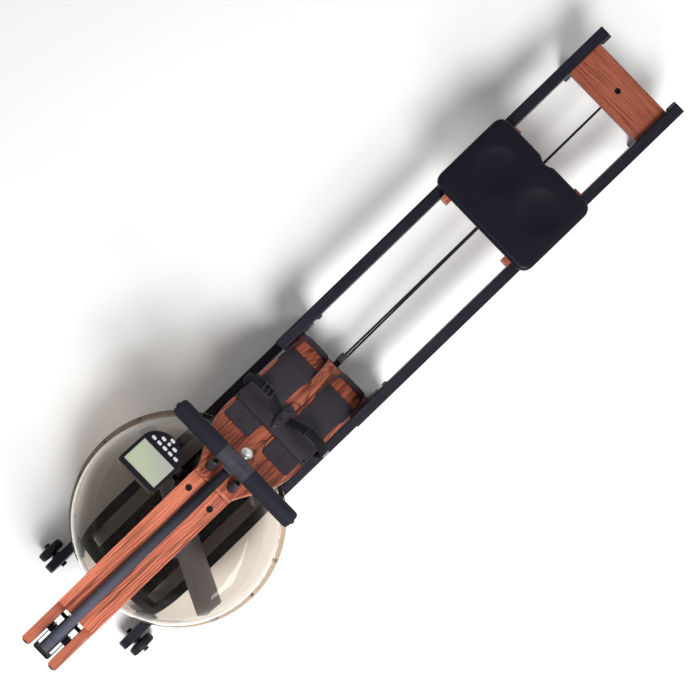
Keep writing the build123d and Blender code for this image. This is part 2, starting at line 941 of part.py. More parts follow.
# Webbing over each foot, from the board's edges to the clamp in the middle
with BuildPart() as foot_straps:
    with BuildSketch(across_board(webbing_start)):
        with BuildLine():
            side_line = footboard_width / 2 + webbing_thickness / 2 + moving_gap
            base_line = webbing_thickness / 2 + moving_gap
            FilletPolyline(
                (0, base_line),
                (clamp_width / 2, base_line),
                (clamp_width * 2, webbing_rise),
                (webbing_reach - clamp_width, webbing_rise),
                (webbing_reach, webbing_rise / 2),
                (side_line, 0),
                (side_line, -footboard_thickness),
                radius=7,
            )
        trace(line_width=webbing_thickness)
        mirror(about=Plane.YZ)
    extrude(amount=webbing_width)
save(foot_straps, "foot_straps")

# Buckles on the webbing, and the clamp over its middle
buckle_places = (74, -86)
with BuildPart() as buckles:
    for place in buckle_places:
        with BuildSketch(board_plane(webbing_start + webbing_width / 2, place, webbing_rise)):
            RectangleRounded(webbing_width + 4 * buckle_wall, buckle_length, buckle_wall)
        extrude(amount=webbing_thickness / 2 + buckle_wall + moving_gap, both=True)
        slot_plane = Plane(
            origin=on_board(webbing_start + webbing_width / 2, place, webbing_rise),
            x_dir=board_plane().x_dir,
            z_dir=(0, 1, 0),
        )
        with BuildSketch(slot_plane):
            Rectangle(webbing_width + 2 * moving_gap, webbing_thickness + 2 * moving_gap)
        extrude(amount=buckle_length, both=True, mode=Mode.SUBTRACT)

with BuildPart() as clamp:
    with BuildSketch(board_plane(clamp_start + clamp_length / 2, 0, flap_thickness)):
        with BuildLine():
            bow = clamp_length / 2
            beam = clamp_width / 2
            ThreePointArc((-bow, -beam / 2), (0, -beam), (bow, -beam / 2))
            ThreePointArc((bow, -beam / 2), (bow + 4, 0), (bow, beam / 2))
            ThreePointArc((bow, beam / 2), (0, beam), (-bow, beam / 2))
            ThreePointArc((-bow, beam / 2), (-bow - 4, 0), (-bow, -beam / 2))
        make_face()
    extrude(amount=clamp_height, taper=18)
    with BuildSketch(board_plane(clamp_plate_start + clamp_plate_length / 2)):
        RectangleRounded(clamp_plate_length, clamp_plate_width, buckle_wall)
    extrude(amount=flap_thickness)
save_group("strap_hardware", buckles, clamp)


# Sliding heel plates, each with a raised heel cup that has a window in its floor
def make_heel_slider(side):
    """A heel plate that slides along the footboard, just clear of it."""
    centre = side * foot_centre
    floor = board_plane(0, centre, moving_gap)
    cup_middle = (cup_start + slider_end) / 2
    cup_length = slider_end - cup_start
    with BuildPart() as slider:
        with BuildSketch(floor):
            with Locations(((slider_start + cup_middle) / 2, 0)):
                Rectangle(cup_middle - slider_start, slider_width)
            with Locations((cup_middle, 0)):
                RectangleRounded(cup_length, cup_width, cup_corner)
        extrude(amount=slider_thickness)
        with BuildSketch(floor):
            with Locations((cup_middle, 0)):
                RectangleRounded(cup_length, cup_width, cup_corner)
                RectangleRounded(
                    cup_length - 2 * cup_wall,
                    cup_width - 2 * cup_wall,
                    cup_corner - cup_wall,
                    mode=Mode.SUBTRACT,
                )
        extrude(amount=cup_height)
        cheek = Plane(
            origin=on_board(cup_start, centre - cup_width, moving_gap + slider_thickness + 1),
            x_dir=board_plane().x_dir,
            z_dir=(0, -1, 0),
        )
        with BuildSketch(cheek):
            with BuildLine():
                Polyline(
                    (-1, 0),
                    (-1, cup_height),
                    (window_start - cup_start, cup_height),
                    close=True,
                )
            make_face()
        extrude(amount=-2 * cup_width, mode=Mode.SUBTRACT)
        with BuildSketch(floor):
            with Locations(((window_start + window_end) / 2, 0)):
                RectangleRounded(
                    window_end - window_start, cup_width - 3 * cup_wall, cup_corner - cup_wall
                )
        extrude(amount=slider_thickness, mode=Mode.SUBTRACT)
    return slider


save(make_heel_slider(1), "heel_slider_right")
save(make_heel_slider(-1), "heel_slider_left")

# Conical rubber rests that the handle is pulled against
with BuildPart() as handle_rests:
    rest_screw = 5
    rest_screw_depth = 4
    for side in (-1, 1):
        with BuildSketch(across_board(rest_place, side * rest_spacing / 2)):
            with BuildLine():
                Polyline(
                    (0, 0),
                    (rest_base_radius, 0),
                    (rest_tip_radius, rest_height - 2),
                    (rest_tip_radius - 2, rest_height),
                    (rest_screw, rest_height),
                    (rest_screw, rest_height - rest_screw_depth),
                    (0, rest_height - rest_screw_depth),
                    close=True,
                )
            make_face()
        axis_start = on_board(rest_place, side * rest_spacing / 2, 0)
        revolve(axis=Axis(axis_start, board_plane().z_dir))
save(handle_rests, "handle_rests")

# Guard around the front pulley: a bent strip with a slot in each side, held by the axle
with BuildPart() as strap_guard:
    guard_side = guard_width / 2
    guard_front = pulley_x - pulley_radius - strap_thickness - guard_sheet - 1
    with BuildSketch(Plane.XY.offset(guard_low)) as guard_plan:
        with BuildLine():
            line = guard_side - guard_sheet / 2
            FilletPolyline(
                (guard_reach, line),
                (guard_front + guard_sheet / 2, line),
                (guard_front + guard_sheet / 2, -line),
                (guard_reach, -line),
                radius=guard_sheet * 2,
            )
        trace(line_width=guard_sheet)
    extrude(amount=guard_high - guard_low)
    disc_along_y(
        pulley_x, pulley_height, axle_radius + bolt_play, -guard_side, guard_side, Mode.SUBTRACT
    )
    with BuildSketch(upright(-guard_side)):
        with Locations((pulley_x - 30, pulley_height)):
            SlotOverall(24, 8)
    extrude(amount=-guard_width, mode=Mode.SUBTRACT)
save(strap_guard, "strap_guard")

# Front axle, its pointed bosses inside and outside the guard, and the keeper pin
with BuildPart() as front_axle:
    disc_along_y(pulley_x, pulley_height, axle_radius, -board_outer, board_outer)
    disc_along_y(keeper_x, keeper_height, keeper_radius, -board_outer, board_outer)
    boss_radius = 9
    boss_point = 15
    boss_walls = (
        (pulley_width / 2 + moving_gap, guard_side - guard_sheet - bolt_play),
        (guard_side + bolt_play, board_inner - bolt_play),
    )
    for near, far in boss_walls:
        with BuildSketch(upright(near)):
            with BuildLine() as boss_outline:
                touch = math.acos(boss_radius / boss_point)
                top = (
                    pulley_x + boss_radius * math.cos(touch),
                    pulley_height + boss_radius * math.sin(touch),
                )
                low = (top[0], 2 * pulley_height - top[1])
                ThreePointArc(top, (pulley_x - boss_radius, pulley_height), low)
                Line(low, (pulley_x + boss_point, pulley_height))
                Line((pulley_x + boss_point, pulley_height), top)
            make_face()
            with Locations((pulley_x, pulley_height)):
                Circle(axle_radius + bolt_play, mode=Mode.SUBTRACT)
        extrude(amount=-(far - near))
    mirror(about=Plane.XZ)
save(front_axle, "front_axle")


# Pulleys
def make_pulley(x, y, z, radius, groove, width, lip, bore_radius):
    """A grooved wheel that turns about Y."""
    with BuildPart() as pulley:
        plane = Plane(origin=(x, y, z), x_dir=(0, 1, 0), z_dir=(1, 0, 0))
        with BuildSketch(plane):
            with BuildLine():
                half = width / 2
                Polyline(
                    (-half, bore_radius + running_play),
                    (-half, radius),
                    (-half + lip, radius),
                    (-half + lip, groove),
                    (half - lip, groove),
                    (half - lip, radius),
                    (half, radius),
                    (half, bore_radius + running_play),
                    close=True,
                )
            make_face()
        revolve(axis=Axis((x, y, z), (0, 1, 0)))
    return pulley


front_pulley = make_pulley(
    pulley_x, 0, pulley_height, pulley_radius, pulley_groove_radius, pulley_width, pulley_lip,
    axle_radius,
)
save(front_pulley, "front_pulley")
for name, x, z in (
    ("recoil_pulley_upper", upper_guide_x, upper_guide_z),
    ("recoil_pulley_lower", lower_guide_x, lower_guide_z),
):
    guide = make_pulley(
        x, cord_side, z, guide_radius, guide_groove_radius, guide_width, guide_lip, guide_axle_radius
    )
    save(guide, name)
rear_pulley = make_pulley(
    rear_pulley_x, cord_side, rear_pulley_z, rear_pulley_radius, rear_pulley_groove,
    rear_pulley_width, guide_lip, guide_axle_radius,
)
save(rear_pulley, "rear_pulley")

# Axles of the recoil pulleys, the rear pulley's hanger and the wheels' axle bolts
with BuildPart() as guide_axles:
    for x, z in ((upper_guide_x, upper_guide_z), (lower_guide_x, lower_guide_z)):
        disc_along_y(x, z, guide_axle_radius, -board_outer, board_outer)

with BuildPart() as hanger:
    ear_inner = rear_pulley_width / 2 + moving_gap
    ear_outer = ear_inner + hanger_sheet
    with BuildSketch(Plane.XY.offset(spacer_bottom)):
        with Locations((rear_pulley_x, cord_side)):
            Rectangle(hanger_width, 2 * ear_outer)
    extrude(amount=-hanger_sheet)
    for y in (cord_side - ear_outer, cord_side + ear_inner):
        with BuildSketch(upright(y)):
            with Locations((rear_pulley_x, rear_pulley_z)):
                Circle(hanger_width / 2)
            with Locations((rear_pulley_x, (rear_pulley_z + spacer_bottom) / 2)):
                Rectangle(hanger_width, spacer_bottom - rear_pulley_z)
        extrude(amount=-hanger_sheet)
    disc_along_y(
        rear_pulley_x,
        rear_pulley_z,
        guide_axle_radius + bolt_play,
        cord_side - ear_outer,
        cord_side + ear_outer,
        Mode.SUBTRACT,
    )
    disc_along_z(
        rear_pulley_x, cord_side, bolt_radius + bolt_play, spacer_bottom - hanger_sheet, spacer_bottom,
        Mode.SUBTRACT,
    )

with BuildPart() as hanger_pin:
    disc_along_y(
        rear_pulley_x, rear_pulley_z, guide_axle_radius, cord_side - ear_outer, cord_side + ear_outer
    )

wheel_near = beam_outer + wheel_washer + moving_gap
wheel_far = wheel_near + wheel_width
with BuildPart() as wheel_axles:
    hub_end = wheel_far + wheel_hub_length
    disc_along_y(wheel_x, wheel_height, wheel_axle_radius, beam_inner, hub_end + 2)
    disc_along_y(wheel_x, wheel_height, recess_radius, beam_inner - bolt_head_height, beam_inner)
    disc_along_y(wheel_x, wheel_height, wheel_hub_radius, beam_outer, beam_outer + wheel_washer)
    disc_along_y(wheel_x, wheel_height, recess_radius, hub_end + moving_gap, hub_end + 5)
    mirror(about=Plane.XZ)
save_group("axles", guide_axles, hanger, hanger_pin, wheel_axles)


# Transport wheels
def make_wheel(side):
    """A tyre and hub in one, with a hollow face on its outer side."""
    with BuildPart() as wheel:
        plane = Plane(origin=(wheel_x, 0, wheel_height), x_dir=(0, side, 0), z_dir=(side, 0, 0))
        with BuildSketch(plane):
            with BuildLine() as section:
                bore_edge = wheel_axle_radius + running_play
                dish = 5
                crown = 2
                Polyline(
                    (wheel_far + wheel_hub_length, bore_edge),
                    (wheel_near, bore_edge),
                    (wheel_near, wheel_radius - crown),
                )
                ThreePointArc(
                    (wheel_near, wheel_radius - crown),
                    ((wheel_near + wheel_far) / 2, wheel_radius),
                    (wheel_far, wheel_radius - crown),
                )
                Polyline(
                    (wheel_far, wheel_radius - crown),
                    (wheel_far, wheel_radius - 8),
                    (wheel_far - dish, wheel_radius - 10),
                    (wheel_far - dish, wheel_hub_radius + 2),
                    (wheel_far + wheel_hub_length, wheel_hub_radius),
                    (wheel_far + wheel_hub_length, bore_edge),
                )
            make_face()
        revolve(axis=Axis((wheel_x, 0, wheel_height), (0, 1, 0)))
    return wheel


save(make_wheel(1), "transport_wheel_right")
save(make_wheel(-1), "transport_wheel_left")


# Straps
def twisted_strap(start, end, width, thickness, edge_lead, flat_lead):
    """A strap along X that starts on edge, ends flat, and eases across between its two leads."""
    steps = 10
    ahead = math.copysign(1, end.X - start.X)
    turn_start = start.X + ahead * edge_lead
    turn_end = end.X - ahead * flat_lead
    places = [(start.X, 0)]
    places += [(turn_start + (turn_end - turn_start) * k / steps, k / steps) for k in range(steps + 1)]
    places += [(end.X, 1)]
    sections = []
    for x, part in places:
        ease = part * part * (3 - 2 * part)
        roll = math.radians(90 * ease)
        plane = Plane(
            origin=(x, start.Y + (end.Y - start.Y) * ease, start.Z + (end.Z - start.Z) * ease),
            x_dir=(0, math.sin(roll), math.cos(roll)),
            z_dir=(ahead, 0, 0),
        )
        with BuildSketch(plane) as section:
            Rectangle(width, thickness)
        sections.append(section.sketch.faces()[0])
    loft(sections, ruled=True)


def wound_layer(core, height, width):
    """The strap that is wound on the drum."""
    with BuildSketch(Plane.XY.offset(height - width / 2)) as ring:
        with Locations((tank_x, 0)):
            Circle(core + moving_gap + drum_wound_layer)
            Circle(core + moving_gap, mode=Mode.SUBTRACT)
    extrude(ring.sketch, amount=width)


def wrap(x, z, y, line_radius, start, end, width, thickness):
    """A strap's arc round a pulley, between two angles from +X towards +Z."""
    with BuildSketch(upright(y - width / 2)) as arc:
        with BuildLine():
            CenterArc((x, z), line_radius, start, end - start)
        trace(line_width=thickness)
    extrude(arc.sketch, amount=-width)


# The drive strap's top run, from the front pulley to the handle
strap_end = handle_x - tongue_reach
strap_top_z = pulley_height + strap_line_radius
with BuildPart() as drive_strap:
    with BuildSketch(upright(-strap_width / 2)):
        with BuildLine():
            Line((pulley_x + bolt_play, strap_top_z), (strap_end - bolt_play, handle_height))
        trace(line_width=strap_thickness)
    extrude(amount=-strap_width)
save(drive_strap, "drive_strap")

# The drive strap's lower run, turned on edge to meet the drum
drive_start = Vector(tank_x, -drive_line_radius, drive_height)
drive_end = Vector(pulley_x, 0, pulley_height - strap_line_radius)
with BuildPart() as drive_return:
    twisted_strap(
        drive_start, drive_end, strap_width, strap_thickness, drum_radius + 4, pulley_radius
    )
    wound_layer(drive_core_radius, drive_height, strap_width)
    wrap(
        pulley_x, pulley_height, 0, strap_line_radius, 90, 270, strap_width, strap_thickness
    )

# The recoil strap, over the upper pulley and under the lower one
guide_gap = math.hypot(lower_guide_x - upper_guide_x, lower_guide_z - upper_guide_z)
run_angle = math.degrees(
    math.atan2(lower_guide_z - upper_guide_z, lower_guide_x - upper_guide_x)
    - math.asin(2 * guide_line_radius / guide_gap)
)
upper_leave = 90 + run_angle
recoil_start = Vector(tank_x, -recoil_line_radius, recoil_height)
recoil_end = Vector(upper_guide_x, cord_side, upper_guide_z + guide_line_radius)
with BuildPart() as recoil_strap:
    twisted_strap(
        recoil_start, recoil_end, recoil_width, recoil_thickness, drum_radius + 4, guide_radius
    )
    wound_layer(recoil_core_radius, recoil_height, recoil_width)
    with BuildSketch(upright(cord_side - recoil_width / 2)):
        with BuildLine():
            over = CenterArc(
                (upper_guide_x, upper_guide_z), guide_line_radius, upper_leave, 90 - upper_leave
            )
            under = CenterArc(
                (lower_guide_x, lower_guide_z), guide_line_radius, 180 + upper_leave,
                90 - upper_leave,
            )
            Line(over @ 0, under @ 0)
            Line(under @ 1, (clip_start, lower_guide_z - guide_line_radius))
        trace(line_width=recoil_thickness)
    extrude(amount=-recoil_width)
save_group("return_straps", drive_return, recoil_strap)

# The elastic cord: one strand from the clip to the rear pulley, one back to the anchor
clip_z = lower_guide_z - guide_line_radius
clip_end = clip_start + clip_length
cross_rear = foot_cross_x + foot_cross_length / 2


def touch_angle(x, z, above):
    """Where a tight cord from this point meets the rear pulley, as an angle from +X."""
    run = math.hypot(rear_pulley_x - x, rear_pulley_z - z)
    back = math.degrees(math.atan2(z - rear_pulley_z, x - rear_pulley_x))
    spread = math.degrees(math.acos(cord_line_radius / run))
    return back - spread if above else back + spread


upper_touch = touch_angle(clip_end, clip_z, True) % 360
lower_touch = touch_angle(cross_rear, cord_anchor_z, False) % 360 - 360
with BuildPart() as bungee_cord:
    cord_plane = upright(cord_side)
    with BuildLine(cord_plane) as cord_path:
        around = CenterArc(
            (rear_pulley_x, rear_pulley_z), cord_line_radius, upper_touch, lower_touch - upper_touch
        )
        Line((clip_end, clip_z), around @ 0)
    with BuildSketch(Plane(cord_path.wires()[0] @ 0, z_dir=cord_path.wires()[0] % 0)) as cord_section:
        Circle(cord_radius)
    sweep(cord_section.sketch, path=cord_path.wires()[0])
    with BuildLine() as return_path:
        touch_point = cord_plane.from_local_coords(around @ 1)
        Line(touch_point, (cross_rear - cord_radius, cord_anchor_side, cord_anchor_z))
    with BuildSketch(Plane(return_path.line @ 0, z_dir=return_path.line % 0)) as return_section:
        Circle(cord_radius)
    sweep(return_section.sketch, path=return_path.line)
    block(
        cross_rear - cross_height,
        cross_rear,
        -cross_height,
        cross_height,
        cord_anchor_z - 2 * cord_radius,
        cord_anchor_z + 2 * cord_radius,
        Mode.SUBTRACT,
    )
    block(
        clip_start,
        clip_end,
        cord_side - clip_width / 2,
        cord_side + clip_width / 2,
        clip_z - clip_height / 2,
        clip_z + clip_height / 2,
    )
save(bungee_cord, "bungee_cord")
print("cord bend radius:", round(cord_line_radius, 1))

# Handle: a round bar with domed ends, and the moulded sleeve that takes the strap
with BuildPart() as handle_grip:
    plane = Plane(origin=(handle_x, 0, handle_height), x_dir=(0, 1, 0), z_dir=(1, 0, 0))
    with BuildSketch(plane) as grip_section:
        with BuildLine():
            half = handle_length / 2
            dome = 10
            waist = handle_radius - sleeve_thickness
            inside = sleeve_length / 2 + moving_gap
            Polyline(
                (0, 0),
                (half, 0),
                (half, handle_nub_radius),
                (half - handle_nub_length, handle_nub_radius),
            )
            ThreePointArc(
                (half - handle_nub_length, handle_nub_radius),
                (half - handle_nub_length - 3, handle_radius - 4),
                (half - handle_nub_length - dome, handle_radius),
            )
            Polyline(
                (half - handle_nub_length - dome, handle_radius),
                (inside, handle_radius),
                (inside, waist),
                (0, waist),
                (0, 0),
            )
        make_face()
    revolve(axis=Axis((handle_x, 0, handle_height), (0, 1, 0)))
    mirror(about=Plane.XZ)
save(handle_grip, "handle_grip")

with BuildPart() as handle_sleeve:
    disc_along_y(handle_x, handle_height, handle_radius + 1, -sleeve_length / 2, sleeve_length / 2)
    chamfer(handle_sleeve.edges().filter_by(GeomType.CIRCLE), 1)
    with BuildSketch(Plane.XY.offset(handle_height - tongue_height / 2)):
        with Locations((handle_x - tongue_reach / 2, 0)):
            RectangleRounded(tongue_reach, tongue_width, 2)
    extrude(amount=tongue_height)
    disc_along_y(
        handle_x, handle_height, waist + moving_gap / 2, -sleeve_length, sleeve_length, Mode.SUBTRACT
    )
save(handle_sleeve, "handle_sleeve")

# Monitor
tilt = math.radians(monitor_tilt)
face_plane = Plane(
    origin=(monitor_x, monitor_y, monitor_height),
    x_dir=(math.cos(tilt), 0, -math.sin(tilt)),
    z_dir=(math.sin(tilt), 0, math.cos(tilt)),
)
face_axis = Axis(face_plane.origin, face_plane.z_dir)
key_places = {
    "key_a1": (key_rows[0], 2 * key_pitch),
    "key_a2": (key_rows[0], key_pitch),
    "key_a3": (key_rows[0], 0),
    "key_a4": (key_rows[0], -key_pitch),
    "key_a5": (key_rows[0], -2 * key_pitch),
    "key_b1": (key_rows[1], key_pitch),
    "key_b2": (key_rows[1], 0),
    "key_b3": (key_rows[1], -key_pitch),
    "key_c1": (key_rows[2], 0),
}
round_keys = ("key_b2",)


def key_outline(name, margin):
    """An oval or round key, larger by this margin all round."""
    if name in round_keys:
        Circle(round_key_diameter / 2 + margin)
    else:
        SlotOverall(key_length + 2 * margin, key_width + 2 * margin, rotation=90)


hinge_point = face_plane.from_local_coords((lug_place, 0, -monitor_thickness - lug_drop))
lug_plane = Plane(
    origin=face_plane.from_local_coords((lug_place, -lug_width / 2, -monitor_thickness)),
    x_dir=face_plane.x_dir,
    z_dir=(0, 1, 0),
)
lug_down = -1 if lug_plane.y_dir.Z > 0 else 1
with BuildPart() as monitor_case:
    with BuildSketch(face_plane) as case_outline:
        front_length = monitor_length / 2 + monitor_round_start
        with Locations((monitor_round_start - front_length / 2, 0)):
            Rectangle(front_length, monitor_width)
        fillet(case_outline.vertices().group_by(Axis.X)[0], monitor_corner)
        with Locations((monitor_round_start, 0)):
            Ellipse(monitor_length / 2 - monitor_round_start, monitor_width / 2)
    extrude(amount=-monitor_thickness)
    top_face = monitor_case.faces().filter_by(face_axis).sort_by(face_axis)[-1]
    fillet(top_face.edges(), monitor_edge)
    with BuildSketch(face_plane):
        with Locations((screen_place, 0)):
            Rectangle(screen_length, screen_width)
    extrude(amount=-screen_depth, mode=Mode.SUBTRACT)
    for name, place in key_places.items():
        with BuildSketch(face_plane):
            with Locations(place):
                key_outline(name, moving_gap)
        extrude(amount=-key_pocket, mode=Mode.SUBTRACT)
    with BuildSketch(lug_plane):
        with Locations((0, lug_down * lug_drop)):
            Circle(lug_radius)
        with Locations((0, lug_down * (lug_drop - 2) / 2)):
            Rectangle(2 * lug_radius, lug_drop + 2)
    extrude(amount=lug_width)
    disc_along_y(
        hinge_point.X,
        hinge_point.Z,
        hinge_pin_radius + running_play,
        monitor_y - lug_width,
        monitor_y + lug_width,
        Mode.SUBTRACT,
    )
save(monitor_case, "monitor_case")

with BuildPart() as monitor_screen:
    with BuildSketch(face_plane.offset(-screen_depth)):
        with Locations((screen_place, 0)):
            Rectangle(screen_length - 2 * bolt_play, screen_width - 2 * bolt_play)
    extrude(amount=screen_depth - bolt_play)
save(monitor_screen, "monitor_screen")

for name, place in key_places.items():
    with BuildPart() as key:
        with BuildSketch(face_plane.offset(key_travel + moving_gap - key_pocket)):
            with Locations(place):
                key_outline(name, 0)
        extrude(amount=key_pocket + key_stand - key_travel - moving_gap)
        crown_face = key.faces().filter_by(face_axis).sort_by(face_axis)[-1]
        fillet(crown_face.edges(), key_stand / 2)
    save(key, name)

# Monitor bracket: a bent bar from the right arm board to a fork, with the hinge pin
with BuildPart() as bracket_bar:
    bar_plane = Plane(
        origin=(hinge_point.X - bracket_width / 2, 0, 0), x_dir=(0, 1, 0), z_dir=(1, 0, 0)
    )
    ear_near = lug_width / 2 + moving_gap
    ear_far = ear_near + bracket_sheet
    face_y = board_outer + bracket_sheet / 2
    with BuildSketch(bar_plane):
        with BuildLine():
            FilletPolyline(
                (face_y, arm_bottom + 3),
                (face_y, (arm_bottom + arm_top) / 2 + 4),
                ((board_outer + monitor_y) / 2, bracket_bar_z),
                (monitor_y + ear_far, bracket_bar_z),
                radius=bracket_sheet * 1.2,
            )
        trace(line_width=bracket_sheet)
    extrude(amount=bracket_width)
    for y in (monitor_y - ear_far, monitor_y + ear_near):
        with BuildSketch(upright(y)):
            with Locations((hinge_point.X, hinge_point.Z)):
                Circle(bracket_ear_radius)
            with Locations((hinge_point.X, (hinge_point.Z + bracket_bar_z) / 2)):
                Rectangle(2 * bracket_ear_radius, hinge_point.Z - bracket_bar_z)
        extrude(amount=-bracket_sheet)
    disc_along_y(
        hinge_point.X,
        hinge_point.Z,
        hinge_pin_radius + bolt_play,
        monitor_y - ear_far,
        monitor_y + ear_far,
        Mode.SUBTRACT,
    )
with BuildPart() as bracket_pin:
    disc_along_y(
        hinge_point.X, hinge_point.Z, hinge_pin_radius, monitor_y - ear_far, monitor_y + ear_far
    )
save_group("monitor_bracket", bracket_bar, bracket_pin)

# Seat pad: rounded outline with a notch at the back, two shallow hollows and rolled edges
seat_end = seat_start + seat_length
seat_top = seat_bottom + seat_thickness
with BuildPart() as seat_pad:
    with BuildSketch(Plane.XY.offset(seat_bottom)) as seat_outline:
        with Locations(((seat_start + seat_end) / 2, 0)):
            RectangleRounded(seat_length, seat_width, seat_corner)
        with Locations((seat_end + seat_notch_radius - seat_notch_depth, 0)):
            Circle(seat_notch_radius, mode=Mode.SUBTRACT)
        fillet(seat_outline.vertices().group_by(Axis.X)[-1].sort_by(Axis.Y)[1:-1], seat_notch_depth)
    extrude(amount=seat_thickness)
    rim = seat_pad.faces().sort_by(Axis.Z)[-1].edges()
    fillet(rim, seat_edge)
    fillet(seat_pad.faces().sort_by(Axis.Z)[0].edges(), seat_edge / 2)
    hollow_radius = (seat_hollow_radius**2 + seat_hollow_depth**2) / (2 * seat_hollow_depth)
    hollow_z = seat_top - seat_hollow_depth + hollow_radius
    for side in (-1, 1):
        with Locations(((seat_start + seat_end) / 2 + 15, side * seat_hollow_side, hollow_z)):
            Sphere(hollow_radius, mode=Mode.SUBTRACT)
save(seat_pad, "seat_pad")

# Seat carriage: a plate on two runners between the rails, with two axles
runner_outer = rail_inner - runner_gap
runner_top = seat_bottom - carriage_plate
runner_bottom = runner_top - runner_depth
roller_z = rail_top + moving_gap + roller_radius
axle_xs = (
    runner_start + (runner_length - roller_spread) / 2,
    runner_start + (runner_length + roller_spread) / 2,
)
axle_end = rail_middle + roller_width / 2 + 6
with BuildPart() as carriage:
    block(
        runner_start + (runner_length - carriage_plate_length) / 2,
        runner_start + (runner_length + carriage_plate_length) / 2,
        -carriage_plate_width / 2,
        carriage_plate_width / 2,
        runner_top,
        seat_bottom,
    )
    with BuildSketch(upright(runner_outer - runner_thickness)) as runner_profile:
        with Locations((runner_start + runner_length / 2, (runner_top + runner_bottom) / 2)):
            Rectangle(runner_length, runner_depth)
        fillet(runner_profile.vertices().group_by(Axis.Y)[0], runner_round)
    extrude(amount=-runner_thickness)
    for x in axle_xs:
        disc_along_y(
            x, roller_z, seat_axle_radius + bolt_play, runner_outer - runner_thickness, runner_outer,
            Mode.SUBTRACT,
        )
    mirror(about=Plane.XZ)
with BuildPart() as seat_axles:
    for x in axle_xs:
        disc_along_y(x, roller_z, seat_axle_radius, -axle_end, axle_end)
save_group("seat_carriage", carriage, seat_axles)


# Seat rollers
def make_roller(x, side):
    """A roller that runs on a rail."""
    with BuildPart() as roller:
        inner = rail_middle - roller_width / 2
        outer = rail_middle + roller_width / 2
        disc_along_y(x, roller_z, roller_radius, side * inner, side * outer)
        chamfer(roller.edges().filter_by(GeomType.CIRCLE), 1.5)
        disc_along_y(
            x, roller_z, seat_axle_radius + running_play, side * inner, side * outer, Mode.SUBTRACT
        )
    return roller


for x, place in zip(axle_xs, ("front", "rear")):
    save(make_roller(x, 1), f"seat_roller_{place}_right")
    save(make_roller(x, -1), f"seat_roller_{place}_left")

# Bolts through the frame
with BuildPart() as frame_bolts:
    for side in (-1, 1):
        add_bolt(deck_bolt_plane(side), deck_bolt_length)
        for x in spacer_bolt_xs:
            add_bolt(side_bolt_plane(x, spacer_bolt_z, rail_outer, side), spacer_bolt_length)
        for x, z in cross_bolt_places:
            add_bolt(side_bolt_plane(x, z, beam_outer, side), cross_bolt_length)
    add_bolt(hanger_bolt_plane, hanger_bolt_length)
save(frame_bolts, "frame_bolts")
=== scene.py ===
import math

import bmesh
import bpy
from bpy.props import FloatProperty, FloatVectorProperty, IntProperty, PointerProperty
from mathutils import Matrix, Vector
from mathutils.geometry import interpolate_bezier


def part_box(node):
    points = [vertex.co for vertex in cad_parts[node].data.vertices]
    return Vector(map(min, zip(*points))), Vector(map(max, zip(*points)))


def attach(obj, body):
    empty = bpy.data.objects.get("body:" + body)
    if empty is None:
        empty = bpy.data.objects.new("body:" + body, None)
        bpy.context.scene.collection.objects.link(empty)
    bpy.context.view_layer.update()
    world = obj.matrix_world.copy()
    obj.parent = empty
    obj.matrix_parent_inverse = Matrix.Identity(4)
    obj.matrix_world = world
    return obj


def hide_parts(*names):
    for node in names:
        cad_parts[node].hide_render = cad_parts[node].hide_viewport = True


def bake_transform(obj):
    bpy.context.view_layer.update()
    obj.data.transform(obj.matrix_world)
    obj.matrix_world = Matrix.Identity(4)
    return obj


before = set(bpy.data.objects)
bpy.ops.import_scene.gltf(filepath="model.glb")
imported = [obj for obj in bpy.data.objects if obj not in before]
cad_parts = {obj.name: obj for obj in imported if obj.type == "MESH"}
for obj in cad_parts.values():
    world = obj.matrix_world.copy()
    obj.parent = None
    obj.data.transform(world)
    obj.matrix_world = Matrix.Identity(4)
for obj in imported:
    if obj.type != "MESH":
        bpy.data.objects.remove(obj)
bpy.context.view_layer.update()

bl_info = {
    "name": "Water rowing machine",
    "version": (1, 0, 0),
    "blender": (4, 5, 0),
    "location": "3D View > Sidebar > Rower",
    "description": "Dresses the rowing machine with wood, a smoky tank, webbing, a seat and a stage",
    "category": "Object",
}


# Places, in metres, in the frame's own axes

TANK_LOW, TANK_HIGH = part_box("tank_lower_shell")[0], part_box("tank_upper_shell")[1]
TANK_X = (TANK_LOW.x + TANK_HIGH.x) / 2
SEAT_LOW, SEAT_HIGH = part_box("seat_pad")
GRIP_LOW, GRIP_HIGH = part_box("handle_grip")
GRIP = (GRIP_LOW + GRIP_HIGH) / 2
BOARD_TILT = math.radians(40.5)
BOARD_TOP = Vector((-0.457, 0, 0.505))
FACE_TILT = math.radians(25)
FACE_MIDDLE = Vector((-0.504, 0.141, 0.552))
PULLEY = Vector((-0.988, 0, 0.468))
PULLEY_LINE = 0.048
UPPER_GUIDE = Vector((-0.372, 0.004, 0.372))
LOWER_GUIDE = Vector((-0.112, 0.004, 0.144))
GUIDE_LINE = 0.0168
REAR_PULLEY = Vector((0.98, 0.004, 0.194))
CORD_LINE = 0.017

# The footboard's own axes: down the slope, to the right, off its surface
BOARD = Matrix.Translation(BOARD_TOP) @ Matrix.Rotation(BOARD_TILT, 4, "Y")
FACE = Matrix.Translation(FACE_MIDDLE) @ Matrix.Rotation(FACE_TILT, 4, "Y")


